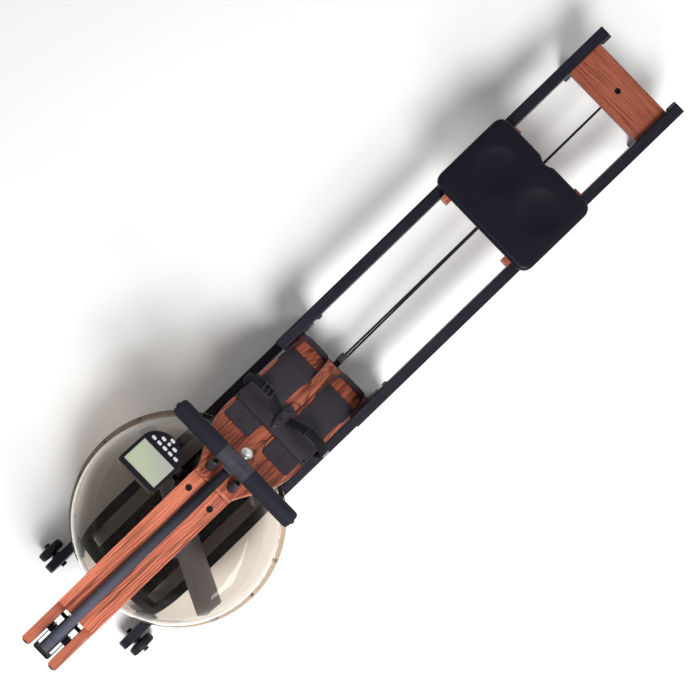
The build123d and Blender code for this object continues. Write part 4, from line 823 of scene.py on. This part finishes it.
class ROWER_OT_tank(bpy.types.Operator):
    """Revolve the tank's two smoky shells with their flanges, and set two lugs on the rim"""

    bl_idname = "rower.tank"
    bl_label = "Tank"

    def execute(self, context):
        wall = sizes().tank_wall
        side, rim, lip, edge, bearing = 0.275, 0.287, 0.005, 0.0015, 0.0142
        upper, lower = 0.241, 0.229
        roof = self.curve(0.190, side, upper, TANK_HIGH.z)
        under_roof = self.curve(0.190, side - wall, upper, TANK_HIGH.z - wall)
        dome = [(bearing, TANK_HIGH.z), *roof, (side + edge, upper), (rim - edge, upper),
                (rim, upper - edge), (rim, upper - lip + edge), (rim - edge, upper - lip),
                (side - wall, upper - lip), *reversed(under_roof),
                (bearing, TANK_HIGH.z - wall), (bearing, TANK_HIGH.z)]
        self.shell("tank_dome", dome, "tank_upper_shell")
        floor = self.curve(0.205, side, lower, TANK_LOW.z)
        over_floor = self.curve(0.205, side - wall, lower, TANK_LOW.z + wall)
        bowl = [(0, TANK_LOW.z), *floor, (side + edge, lower), (rim - edge, lower),
                (rim, lower + edge), (rim, lower + lip - edge), (rim - edge, lower + lip),
                (side - wall, lower + lip), *reversed(over_floor), (0, TANK_LOW.z + wall)]
        self.shell("tank_bowl", bowl, "tank_lower_shell")
        self.lugs(rim, upper)
        return {"FINISHED"}

    def curve(self, inner, outer, level, end, steps=24):
        """A quarter ellipse from the roof or floor's edge out to the side wall."""
        points = []
        for k in range(steps + 1):
            angle = math.radians(90 * k / steps)
            points.append((inner + (outer - inner) * math.sin(angle),
                           level + (end - level) * math.cos(angle)))
        return points

    def shell(self, name, profile, node):
        bm = spun(profile, Vector((TANK_X, 0, 0)), steps=128)
        piece = fresh(name, bm, "smoky_clear", "frame")
        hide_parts(node)

    def lugs(self, rim, level):
        """Two small blocks on the flange that tell how to turn the shells together."""
        bm = bmesh.new()
        for turn in (246, 78):
            place = Matrix.Translation((TANK_X, 0, 0)) @ Matrix.Rotation(math.radians(turn), 4, "Z")
            block(bm, (rim - 0.011, -0.007, level - 0.0002), (rim - 0.001, 0.007, level + 0.006),
                  place, 0.0012)
        fresh("rim_lugs", bm, "pale_edge", "frame")


class ROWER_OT_moving_parts(bpy.types.Operator):
    """Make the paddle, the transport wheels and the handle's foam grip"""

    bl_idname = "rower.moving_parts"
    bl_label = "Paddle, wheels and grip"

    def execute(self, context):
        self.paddle()
        self.wheels()
        self.grip()
        return {"FINISHED"}

    def paddle(self):
        """Two ridged blades with one steep and one shallow side, on a hub with its shaft."""
        shaft, hub, low, high = 0.008, 0.026, 0.190, 0.300
        reach, lean, ridge, thickness = 0.255, 0.028, 0.030, 0.004
        box_low, box_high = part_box("impeller")
        profile = [(0, box_low.z), (shaft, box_low.z), (shaft, low), (hub - 0.002, low),
                   (hub, low + 0.002), (hub, high - 0.002), (hub - 0.002, high), (shaft, high),
                   (shaft, box_high.z - 0.001), (shaft - 0.001, box_high.z), (0, box_high.z)]
        shaft_piece = fresh("paddle_shaft", spun(profile, Vector((TANK_X, 0, 0)), steps=48),
                            "grey_plastic", "impeller", 30)
        bm = bmesh.new()
        section = [(-lean, high - thickness - ridge), (-0.0025, high - thickness - 0.003),
                   (0.0, high - thickness - 0.001), (0.0025, high - thickness - 0.004),
                   (lean, low + thickness)]
        for turn in (65, 245):
            place = Matrix.Translation((TANK_X, 0, 0)) @ Matrix.Rotation(math.radians(turn), 4, "Z")
            verts = [bm.verts.new((hub / 2, side, height)) for side, height in section]
            edges = [bm.edges.new(pair) for pair in zip(verts, verts[1:])]
            grown = bmesh.ops.extrude_edge_only(bm, edges=edges)["geom"]
            far = [g for g in grown if isinstance(g, bmesh.types.BMVert)]
            bmesh.ops.translate(bm, vec=(reach - hub / 2, 0, 0), verts=far)
            bmesh.ops.transform(bm, matrix=place, verts=verts + far)
        blades = fresh("paddle_blades", bm, "grey_plastic", "impeller", 30)
        thicken(blades, thickness, 0.0008)
        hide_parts("impeller")
        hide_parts("impeller")

    def wheels(self):
        """A ribbed rubber tyre with a dished side and a small hub."""
        half, tyre, bore = 0.012, 0.0365, 0.0052
        side = [(0.009, half + 0.003), (0.0095, half), (0.023, half - 0.003), (0.026, half - 0.0005),
                (0.031, half), (0.0345, half - 0.0015), (tyre, half - 0.0055), (tyre, 0.0012),
                (tyre - 0.0008, 0.0004)]
        profile = [(bore, half + 0.003), *side, *[(r, -y) for r, y in reversed(side)],
                   (bore, -half - 0.003), (bore, half + 0.003)]
        for name, y in (("transport_wheel_right", 0.18), ("transport_wheel_left", -0.18)):
            low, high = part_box(name)
            centre = (low + high) / 2
            piece = fresh(f"{name}_tyre", spun(profile, centre, "Y", 64), "rubber", name, 30)
            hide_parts(name)

    def grip(self):
        """A foam tube with rounded ends and a small nub at each end."""
        half, radius = (GRIP_HIGH.y - GRIP_LOW.y) / 2, 0.0228
        end = half - 0.004
        side = [(0, half), (0.004, half), (0.006, half - 0.0015), (0.0063, end), (0.0145, end),
                (0.0185, end - 0.0015), (0.0215, end - 0.0045), (radius, end - 0.0095)]
        profile = side + [(r, -y) for r, y in reversed(side)]
        piece = fresh("handle_foam", spun(profile, GRIP, "Y", 64), "grip_foam", "handle", 50)
        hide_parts("handle_grip")


class ROWER_OT_arms(bpy.types.Operator):
    """Cut the two arm boards, whose tops curve down in front of the deck"""

    bl_idname = "rower.arms"
    bl_label = "Arms"

    def execute(self, context):
        low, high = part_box("arm_boards")
        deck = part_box("deck_board")[0].x
        bottom, dip, radius, thickness = 0.440, 0.036, 0.048, 0.0265
        outline = [(high.x, bottom), (high.x, high.z), (deck, high.z)]
        for k in range(9):
            along = dip * (1 - k / 8)
            outline.append((deck - dip + along, high.z - radius + math.sqrt(radius**2 - along**2)))
        for middle_x, middle_z, round_radius, start in (
            (low.x + 0.004, high.z - 0.004, 0.004, 90), (low.x + 0.020, low.z + 0.020, 0.020, 180),
        ):
            for k in range(7):
                turn = math.radians(start + 15 * k)
                outline.append((middle_x + round_radius * math.cos(turn),
                                middle_z + round_radius * math.sin(turn)))
        nose_start, nose_end = -0.935, -0.860
        middle = (nose_start + nose_end) / 2
        outline += curve_points(
            ((nose_start, low.z), (middle, low.z), (middle, bottom), (nose_end, bottom)), 16)
        whole = bmesh.new()
        for side in (high.y - thickness, -high.y):
            bm = slab(outline, -side - thickness, -side)
            soften(bm, 0.0018)
            bmesh.ops.transform(bm, matrix=Matrix.Rotation(math.radians(90), 4, "X"), verts=bm.verts)
            add_to(whole, bm)
        boards = fresh("arm_planks", whole, "arm_wood", "frame", 30)
        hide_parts("arm_boards")
        return {"FINISHED"}


class ROWER_OT_drive_strap(bpy.types.Operator):
    """Weave the drive strap: its coil on the drum, its turn to the pulley and its pull run"""

    bl_idname = "rower.drive_strap"
    bl_label = "Drive strap"

    def execute(self, context):
        width, thickness = 0.025, 0.002
        height = (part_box("drive_drum")[1].z - 0.0155)
        start = Vector((TANK_X, -0.056, height))
        end = PULLEY + Vector((0, 0, -PULLEY_LINE))
        stations = strap_coil(0.056, 0.0022, 1.4, height)[:-1]
        stations += strap_twist(start, end, 0.074, 0.051)
        stations += strap_arc(PULLEY, PULLEY_LINE, 270, 90, 24)[1:]
        piece = fresh("drive_strap_return", ribbon(stations, width), "strap_weave", "frame")
        thicken(piece, thickness)
        pull_start = PULLEY + Vector((0.0002, 0, PULLEY_LINE))
        pull_end = Vector((GRIP.x - 0.0285, 0, GRIP.z))
        count = 60
        stations = [
            (pull_start.lerp(pull_end, k / count), Vector((0, 1, 0))) for k in range(count + 1)
        ]
        pull = fresh("drive_strap_pull", ribbon(stations, width), "strap_weave", None)
        thicken(pull, thickness)
        apply_modifiers(pull)
        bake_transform(pull)
        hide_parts("drive_strap")
        return {"FINISHED"}


class ROWER_OT_recoil(bpy.types.Operator):
    """Make the recoil strap and the elastic cord that pull the handle back"""

    bl_idname = "rower.recoil"
    bl_label = "Recoil"

    def execute(self, context):
        width, thickness = 0.015, 0.0016
        height = 0.4005
        start = Vector((TANK_X, -0.0522, height))
        end = UPPER_GUIDE + Vector((0, 0, GUIDE_LINE))
        between = LOWER_GUIDE - UPPER_GUIDE
        gap = math.hypot(between.x, between.z)
        run = math.atan2(between.z, between.x) - math.asin(2 * GUIDE_LINE / gap)
        leave = 90 + math.degrees(run)
        stations = strap_coil(0.0522, 0.0018, 1.4, height)[:-1]
        stations += strap_twist(start, end, 0.074, 0.02)[:-1]
        stations += strap_arc(UPPER_GUIDE, GUIDE_LINE, 90, leave, 8)
        stations += strap_arc(LOWER_GUIDE, GUIDE_LINE, 180 + leave, 270, 8)
        clip = LOWER_GUIDE + Vector((0, 0, -GUIDE_LINE))
        stations.append((Vector((-0.044, clip.y, clip.z)), Vector((0, 1, 0))))
        piece = fresh("recoil_strap", ribbon(stations, width), "strap_weave", "frame")
        thicken(piece, thickness)
        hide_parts("return_straps")
        self.cord(clip.z)
        return {"FINISHED"}

    def cord(self, clip_z):
        """Two strands round the rear pulley, drawn as one tight line, with the strap's clip."""
        radius = 0.003
        leave = Vector((-0.018, 0.004, clip_z))
        anchor = Vector((-0.0715, -0.004, 0.082))
        along = math.atan2(REAR_PULLEY.z - leave.z, REAR_PULLEY.x - leave.x)
        over = along + math.radians(90)
        over -= math.asin(CORD_LINE / math.hypot(REAR_PULLEY.x, REAR_PULLEY.z))
        curve = bpy.data.curves.new("elastic_cord", "CURVE")
        curve.dimensions = "3D"
        curve.bevel_depth = radius
        curve.bevel_resolution = 4
        curve.resolution_u = 12
        curve.use_fill_caps = True
        spline = curve.splines.new("BEZIER")
        spline.bezier_points.add(4)
        up = Vector((0, 0, CORD_LINE))
        ahead = Vector((CORD_LINE, 0, 0))
        reach = CORD_LINE * 0.5523
        knots = (
            (leave, Vector((0.01, 0, 0))),
            (REAR_PULLEY + up, Vector((reach, 0, 0))),
            (REAR_PULLEY + ahead, Vector((0, 0, -reach))),
            (REAR_PULLEY - up, Vector((-reach, 0, 0))),
            (anchor, Vector((-0.01, 0, 0))),
        )
        for point, (place, lead) in zip(spline.bezier_points, knots):
            point.co = place
            point.handle_left = place - lead
            point.handle_right = place + lead
        piece = bpy.data.objects.new("elastic_cord", curve)
        bpy.context.scene.collection.objects.link(piece)
        graph = bpy.context.evaluated_depsgraph_get()
        mesh = bpy.data.meshes.new_from_object(piece.evaluated_get(graph))
        bpy.data.objects.remove(piece)
        piece = bpy.data.objects.new("elastic_cord", mesh)
        bpy.context.scene.collection.objects.link(piece)
        mesh.materials.clear()
        mesh.materials.append(MATERIALS["cord_weave"])
        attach(piece, "frame")
        bm = bmesh.new()
        block(bm, (-0.044, -0.006, clip_z - 0.005), (-0.018, 0.014, clip_z + 0.005), None, 0.0015)
        clip = fresh("cord_clip", bm, "black_plastic", "frame")
        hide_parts("bungee_cord")
        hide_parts("bungee_cord")


class ROWER_OT_seat(bpy.types.Operator):
    """Shape the seat pad's soft moulded form"""

    bl_idname = "rower.seat"
    bl_label = "Seat"

    def execute(self, context):
        pad = merged_copy("seat_pad", "seat_cushion")
        remesh = pad.modifiers.new("even", "REMESH")
        remesh.mode = "VOXEL"
        remesh.voxel_size = 0.004
        smooth = pad.modifiers.new("soft", "SMOOTH")
        smooth.factor = 0.5
        smooth.iterations = 10
        apply_modifiers(pad)
        for polygon in pad.data.polygons:
            polygon.use_smooth = True
        pad.data.materials.clear()
        pad.data.materials.append(MATERIALS["seat_cover"])
        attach(pad, "seat")
        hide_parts("seat_pad")
        return {"FINISHED"}


class ROWER_OT_footboard(bpy.types.Operator):
    """Cut the footboard to its bottle shape and set the cross bar and the heel plates on it"""

    bl_idname = "rower.footboard"
    bl_label = "Footboard"

    NECK, WIDE, LENGTH, DEPTH = 0.058, 0.1235, 0.524, 0.020
    FOOT = 0.0695
    PLATE = 0.005

    def execute(self, context):
        self.board()
        self.cross_bar()
        for side, name in ((1, "heel_slider_right"), (-1, "heel_slider_left")):
            self.heel_plate(side * self.FOOT, name)
        return {"FINISHED"}

    def board(self):
        corner = 0.012
        half = [(-self.DEPTH, self.NECK)]
        half += curve_points(
            ((0.004, self.NECK), (0.032, self.NECK), (0.109, self.WIDE), (0.195, self.WIDE)), 28)
        for k in range(7):
            turn = math.radians(15 * k)
            half.append((self.LENGTH - corner + corner * math.sin(turn),
                         self.WIDE - corner + corner * math.cos(turn)))
        bm = slab(mirrored(half), -self.DEPTH, 0)
        bmesh.ops.transform(bm, matrix=BOARD, verts=bm.verts)
        joint_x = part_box("footboard")[0].x
        for place, out in (((joint_x, 0, 0), (-1, 0, 0)), ((0, 0, BOARD_TOP.z), (0, 0, 1))):
            bmesh.ops.bisect_plane(
                bm, geom=bm.verts[:] + bm.edges[:] + bm.faces[:], plane_co=place, plane_no=out,
                clear_outer=True,
            )
            open_edges = [e for e in bm.edges if e.is_boundary]
            if open_edges:
                bmesh.ops.edgeloop_fill(bm, edges=open_edges)
        bmesh.ops.recalc_face_normals(bm, faces=bm.faces)
        soften(bm, 0.0016)
        board = fresh("slope_board", bm, "slope_wood", "frame", 30)
        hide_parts("footboard")

    def cross_bar(self):
        """A bar over both heel plates, with a channel for each and tabs down the slope."""
        start, end, tabs_end, channel, top = 0.219, 0.290, 0.316, 0.0065, 0.009
        across = (-self.WIDE, -0.115, -0.024, -0.021, 0.021, 0.024, 0.115, self.WIDE)
        open_columns, tab_columns = (1, 5), (0, 3, 6)
        bm = bmesh.new()
        bmesh.ops.create_grid(bm, x_segments=7, y_segments=2, size=1)
        for vert in bm.verts:
            column, row = round((vert.co.x + 1) * 3.5), round(vert.co.y + 1)
            vert.co = Vector((start, across[column], (0, channel, top)[row]))

        def column_of(face):
            return next(k for k in range(7) if across[k] < face.calc_center_median().y < across[k + 1])

        hollow = [f for f in bm.faces
                  if column_of(f) in open_columns and f.calc_center_median().z < channel]
        bmesh.ops.delete(bm, geom=hollow, context="FACES")
        for reach, columns in ((end - start, range(7)), (tabs_end - end, tab_columns)):
            last = max(v.co.x for v in bm.verts)
            caps = [f for f in bm.faces
                    if f.calc_center_median().x > last - 1e-6 and column_of(f) in columns]
            grown = bmesh.ops.extrude_face_region(bm, geom=caps)["geom"]
            bmesh.ops.translate(
                bm, vec=(reach, 0, 0), verts=[g for g in grown if isinstance(g, bmesh.types.BMVert)])
            if reach == tabs_end - end:
                bmesh.ops.delete(bm, geom=[f for f in caps if f.is_valid], context="FACES_ONLY")
        bmesh.ops.recalc_face_normals(bm, faces=bm.faces)
        bmesh.ops.dissolve_limit(bm, angle_limit=math.radians(1), verts=bm.verts, edges=bm.edges)
        soften(bm, 0.0009)
        bmesh.ops.transform(bm, matrix=BOARD, verts=bm.verts)
        bar = fresh("foot_cross_bar", bm, "black_plastic", "frame", 30)
        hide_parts("foot_flap")

    def heel_plate(self, centre, name):
        """A plate that slides on the board, and flares into a hoop that holds the heel."""
        start, flare, cup, full, end = 0.286, 0.378, 0.423, 0.470, 0.512
        half, cup_half, end_half = 0.0445, 0.052, 0.046
        wall, corner, height, gap = 0.003, 0.018, 0.025, 0.0003

        def side_at(d):
            return cup_half + (end_half - cup_half) * (d - cup) / (end - cup) - wall / 2

        middle = (flare + cup) / 2
        outline = [(start, half)]
        outline += curve_points(((flare, half), (middle, half), (middle, cup_half), (cup, cup_half)), 12)
        outline += [(cup + 0.001, side_at(cup)), (0.462, side_at(0.462))]
        bm = slab(mirrored(outline), gap, gap + self.PLATE)
        soften(bm, 0.0008)
        place = BOARD @ Matrix.Translation((0, centre, 0))
        bmesh.ops.transform(bm, matrix=place, verts=bm.verts)
        plate = fresh(f"{name}_plate", bm, "black_plastic", name, 30)
        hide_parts(name)

        path = [(cup + (full - cup) * k / 6, side_at(cup + (full - cup) * k / 6)) for k in range(7)]
        reach, turn_side = end - wall / 2, side_at(end)
        round_corner = corner - wall / 2
        for k in range(9):
            turn = math.radians(90 * k / 8)
            path.append((reach - round_corner + round_corner * math.sin(turn),
                         turn_side - round_corner + round_corner * math.cos(turn)))
        up = BOARD.to_3x3() @ Vector((0, 0, 1))
        stations = []
        for d, w in mirrored(path):
            rise = self.PLATE + (height - self.PLATE) * min(1, (d - cup) / (full - cup))
            stations.append((place @ Vector((d, w, gap + rise / 2)), up * rise))
        hoop = fresh(f"{name}_hoop", ribbon(stations, 1), "black_plastic", name, 50)
        thicken(hoop, wall, 0.0009)
        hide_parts(name)


class ROWER_OT_foot_straps(bpy.types.Operator):
    """Make the webbing over each foot, its loose ends, its buckles and the clamp in the middle"""

    bl_idname = "rower.foot_straps"
    bl_label = "Foot straps"

    MIDDLE = 0.2755
    RISE = 0.042

    def execute(self, context):
        over = (
            ((0.002, 0.0105), (0.014, 0.0105), (0.024, 0.0165), (0.040, 0.0268)),
            ((0.040, 0.0268), (0.052, 0.0345), (0.066, 0.0425), (0.088, 0.0428)),
            ((0.088, 0.0428), (0.108, 0.0432), (0.130, 0.034), (0.139, 0.0225)),
            ((0.139, 0.0225), (0.1425, 0.0175), (0.134, 0.0105), (0.128, 0.004)),
            ((0.128, 0.004), (0.1255, 0.001), (0.1252, -0.004), (0.1252, -0.019)),
        )
        loose = (
            ((0.070, 0.0458), (0.084, 0.0466), (0.104, 0.0475), (0.121, 0.0422)),
            ((0.121, 0.0422), (0.130, 0.0392), (0.138, 0.034), (0.1455, 0.029)),
        )
        for side, name in ((1, "right"), (-1, "left")):
            piece = self.band(f"foot_strap_{name}", over, side)
            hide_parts("foot_straps")
        self.band("foot_strap_end", loose, -1)
        bm = bmesh.new()
        block(bm, (-0.0126, -0.0042, -0.0018), (0.0126, 0.0042, 0.0018), BOARD @ Matrix.Translation(
            (self.MIDDLE, -0.1435, 0.0301)) @ Matrix.Rotation(math.radians(34), 4, "X"), 0.0012)
        fresh("foot_strap_hem", bm, "pale_edge", "frame")
        self.buckle("right", 0.074, 9, (-0.0145, 0, 0.0145))
        self.buckle("left", -0.086, -3, (-0.0165, -0.0055, 0.0055, 0.0165))
        self.clamp()
        return {"FINISHED"}

    def band(self, name, knots, side, width=0.025, thickness=0.0022):
        points = []
        for knot in knots:
            corners = [Vector((self.MIDDLE, side * w, h)) for w, h in knot]
            points += interpolate_bezier(*corners, 12)[(1 if points else 0):]
        down = BOARD.to_3x3() @ Vector((1, 0, 0))
        piece = fresh(name, ribbon([(BOARD @ p, down) for p in points], width),
                      "foot_weave", "frame")
        thicken(piece, thickness)
        return piece

    def buckle(self, name, side, turn, bars):
        """A ladder buckle: two side rails beside the webbing and bars over it."""
        place = BOARD @ Matrix.Translation((self.MIDDLE, side, self.RISE))
        place = place @ Matrix.Rotation(math.radians(turn), 4, "Z")
        bm = bmesh.new()
        for edge in (-0.0157, 0.0157):
            block(bm, (edge - 0.0021, -0.0185, -0.0022), (edge + 0.0021, 0.0185, 0.0042), place, 0.0014)
        for bar in bars:
            block(bm, (-0.0150, bar - 0.0021, 0.0013), (0.0150, bar + 0.0021, 0.0047), place, 0.0012)
        piece = fresh(f"strap_buckle_{name}", bm, "black_plastic", "frame")
        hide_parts("strap_hardware")

    def clamp(self):
        """A boat-shaped clamp with a ridge along its top and two sunk screws."""
        bm = bmesh.new()
        bmesh.ops.create_circle(bm, cap_ends=True, segments=48, radius=1)
        bmesh.ops.scale(bm, vec=(0.0465, 0.0162, 1), verts=bm.verts)
        face = bm.faces[:][0]
        for rise, shrink in ((0.0065, 0.0012), (0.0035, 0.0022), (0.0012, 0.0022), (-0.0012, 0.0026),
                             (0.0, 0.001), (0.0022, 0.0014), (0.0, 0.0018)):
            if rise:
                grown = bmesh.ops.extrude_face_region(bm, geom=[face])["geom"]
                bmesh.ops.delete(bm, geom=[face], context="FACES_ONLY")
                face = next(g for g in grown if isinstance(g, bmesh.types.BMFace))
                bmesh.ops.translate(bm, vec=(0, 0, rise), verts=face.verts)
            scale = [1 - shrink / 0.0465 * 1.6, 1 - shrink / 0.0162, 1]
            bmesh.ops.scale(bm, vec=scale, verts=face.verts)
        bmesh.ops.recalc_face_normals(bm, faces=bm.faces)
        place = Matrix.Translation((0.2725, 0, 0.0091))
        bmesh.ops.transform(bm, matrix=BOARD @ place, verts=bm.verts)
        piece = fresh("strap_clamp", bm, "black_plastic", "frame", 28)
        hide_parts("strap_hardware")
        bm = bmesh.new()
        for place in (0.256, 0.292):
            sunk_screw(bm, BOARD @ Matrix.Translation((place, 0, 0.0212)), 0.0036)
        fresh("strap_clamp_screws", bm, "black_steel", "frame")


def sunk_screw(bm, place, radius):
    """A button-headed screw with a six-sided socket, added to a bmesh."""
    head = [(0.45 * radius, -0.3 * radius), (0.5 * radius, 0.45 * radius), (0.8 * radius, 0.36 * radius),
            (radius, 0.08 * radius), (radius, -0.4 * radius)]
    part = spun(head, Vector((0, 0, 0)), steps=24)
    made = bmesh.ops.create_circle(part, cap_ends=True, segments=6, radius=0.46 * radius)["verts"]
    bmesh.ops.translate(part, vec=(0, 0, -0.25 * radius), verts=made)
    bmesh.ops.transform(part, matrix=place, verts=part.verts)
    add_to(bm, part)


class ROWER_OT_fittings(bpy.types.Operator):
    """Add the screws, the polished cap, the rests' screws, the plates' marks and a pale frame round the
    screen that is a painted highlight
    """

    bl_idname = "rower.fittings"
    bl_label = "Fittings"

    def execute(self, context):
        cap = [(0, 0.0085), (0.006, 0.0082), (0.011, 0.0068), (0.0145, 0.0045), (0.0165, 0.0018),
               (0.017, -0.0002)]
        bm = spun(cap, Vector((0.127, -0.002, 0)), steps=64)
        bmesh.ops.transform(bm, matrix=BOARD, verts=bm.verts)
        fresh("footboard_cap", bm, "chrome_cap", "frame")
        self.screws()
        self.plate_marks()
        self.painted_screen_highlight()
        return {"FINISHED"}

    def screws(self):
        bm = bmesh.new()
        for d, w in ((0.2265, 0.117), (0.2265, -0.117), (0.302, 0.1185), (0.302, -0.1185)):
            sunk_screw(bm, BOARD @ Matrix.Translation((d, w, 0.0091)), 0.0036)
        for side in (-1, 1):
            sunk_screw(bm, BOARD @ Matrix.Translation((0.027, side * 0.037, 0.0335)), 0.0046)
        fresh("foot_rest_screws", bm, "black_steel", "frame")

    def plate_marks(self):
        """A short bar and three dots sunk in each upper foot plate, to set the foot against."""
        bm = bmesh.new()
        for side in (-1, 1):
            middle = side * 0.068
            block(bm, (0.1735, middle - 0.009, 0.0044), (0.1765, middle + 0.009, 0.0052), BOARD, 0.0002)
            for place in (0.187, 0.201, 0.216):
                block(bm, (place - 0.0018, middle - 0.0018, 0.0044),
                      (place + 0.0018, middle + 0.0018, 0.0052), BOARD, 0.0002)
        fresh("plate_marks", bm, "rubber", "frame")

    def painted_screen_highlight(self):
        """A thin pale frame round the screen: a painted highlight on the bezel."""
        bm = bmesh.new()
        left, right, side = -0.0525, 0.0145, 0.050
        for low, high in (
            ((left, -side, -0.0008), (left + 0.0011, side, 0.0002)),
            ((right - 0.0006, -side, -0.0008), (right, side, 0.0001)),
            ((left, -side, -0.0008), (right, -side + 0.0006, 0.0001)),
            ((left, side - 0.0006, -0.0008), (right, side, 0.0001)),
        ):
            block(bm, low, high, FACE)
        fresh("painted_screen_highlight", bm, "pale_edge", "monitor")


def lamp(name, place, target, size, power, tone=(1, 1, 1)):
    """A soft square lamp that looks at a point."""
    data = bpy.data.lights.new(name, "AREA")
    data.shape = "SQUARE"
    data.size = size
    data.energy = power
    data.color = tone
    piece = bpy.data.objects.new(name, data)
    piece.location = place
    piece.rotation_euler = (Vector(target) - Vector(place)).to_track_quat("-Z", "Y").to_euler()
    bpy.context.scene.collection.objects.link(piece)
    return piece


class ROWER_OT_stage(bpy.types.Operator):
    """Set up the pale floor, the soft lamps and the camera over the machine"""

    bl_idname = "rower.stage"
    bl_label = "Stage"

    def execute(self, context):
        bm = bmesh.new()
        bmesh.ops.create_grid(bm, x_segments=1, y_segments=1, size=14)
        mesh = bpy.data.meshes.new("floor")
        bm.to_mesh(mesh)
        bm.free()
        floor = bpy.data.objects.new("floor", mesh)
        context.scene.collection.objects.link(floor)
        material = new_material("pale_floor")
        tree = material.node_tree
        paint = blend_colours(tree, background_rays(tree), tint("floor"), (1.12, 1.12, 1.11, 1))
        shader = put(tree, "ShaderNodeBsdfDiffuse", {"Color": paint})
        place = put(tree, "ShaderNodeTexCoord").outputs["Object"]
        far = spread(tree, vector(tree, "LENGTH", place), 1.9, 4.0)
        far = maths(tree, "MULTIPLY", far, background_rays(tree))
        glow = put(tree, "ShaderNodeEmission", {"Color": (1, 1, 1, 1), "Strength": 1.0})
        mixed = put(tree, "ShaderNodeMixShader", {0: far, 1: shader.outputs[0], 2: glow.outputs[0]})
        put(tree, "ShaderNodeOutputMaterial", {"Surface": mixed.outputs[0]})
        mesh.materials.append(material)

        world = bpy.data.worlds.new("studio")
        world.use_nodes = True
        tree = world.node_tree
        tree.nodes.clear()
        strength = spread(tree, background_rays(tree, 0.2), 0, 1, 0.26, 1.0)
        sky = put(tree, "ShaderNodeBackground", {"Color": (1, 1, 1, 1), "Strength": strength})
        put(tree, "ShaderNodeOutputWorld", {"Surface": sky.outputs[0]})
        context.scene.world = world

        lamp("key", (-1.15, -2.1, 4.6), (0, 0, 0.2), 1.5, 190)
        lamp("side", (2.2, -1.4, 2.4), (0.2, 0, 0.2), 1.2, 14)
        lamp("rear_card", (4.2, 0.2, 1.0), (-0.4, 0, 0.45), 1.5, 8)
        lamp("low_card", (-1.25, -1.9, 2.3), (-0.6, 0, 0.25), 0.8, 26)

        camera_data = bpy.data.cameras.new("overhead")
        camera_data.lens = sizes().camera_lens
        camera = bpy.data.objects.new("overhead", camera_data)
        camera.location = (0, 0.0042, sizes().camera_height)
        camera.rotation_euler = (0, 0, -sizes().camera_turn)
        context.scene.collection.objects.link(camera)
        context.scene.camera = camera
        context.scene.view_settings.view_transform = "Standard"
        return {"FINISHED"}


OPERATORS = (
    ROWER_OT_stage,
    ROWER_OT_finishes,
    ROWER_OT_tank,
    ROWER_OT_moving_parts,
    ROWER_OT_arms,
    ROWER_OT_drive_strap,
    ROWER_OT_recoil,
    ROWER_OT_seat,
    ROWER_OT_footboard,
    ROWER_OT_foot_straps,
    ROWER_OT_fittings,
)


class ROWER_PT_panel(bpy.types.Panel):
    """The rowing machine's sizes, colours and steps"""

    bl_idname = "ROWER_PT_panel"
    bl_label = "Rowing machine"
    bl_space_type = "VIEW_3D"
    bl_region_type = "UI"
    bl_category = "Rower"

    def draw(self, context):
        for group_of in (context.scene.rower_sizes, context.scene.rower_colours):
            box = self.layout.box()
            for name in group_of.__annotations__:
                box.prop(group_of, name)
        for operator in OPERATORS:
            self.layout.operator(operator.bl_idname)


CLASSES = (RowerSizes, RowerColours, *OPERATORS, ROWER_PT_panel)


def register():
    for cls in CLASSES:
        bpy.utils.register_class(cls)
    bpy.types.Scene.rower_sizes = PointerProperty(type=RowerSizes)
    bpy.types.Scene.rower_colours = PointerProperty(type=RowerColours)


def unregister():
    del bpy.types.Scene.rower_colours
    del bpy.types.Scene.rower_sizes
    for cls in reversed(CLASSES):
        bpy.utils.unregister_class(cls)


def main():
    register()
    for operator in OPERATORS:
        step = operator.bl_idname.split(".")[1]
        getattr(bpy.ops.rower, step)()


if __name__ == "__main__":
    main()
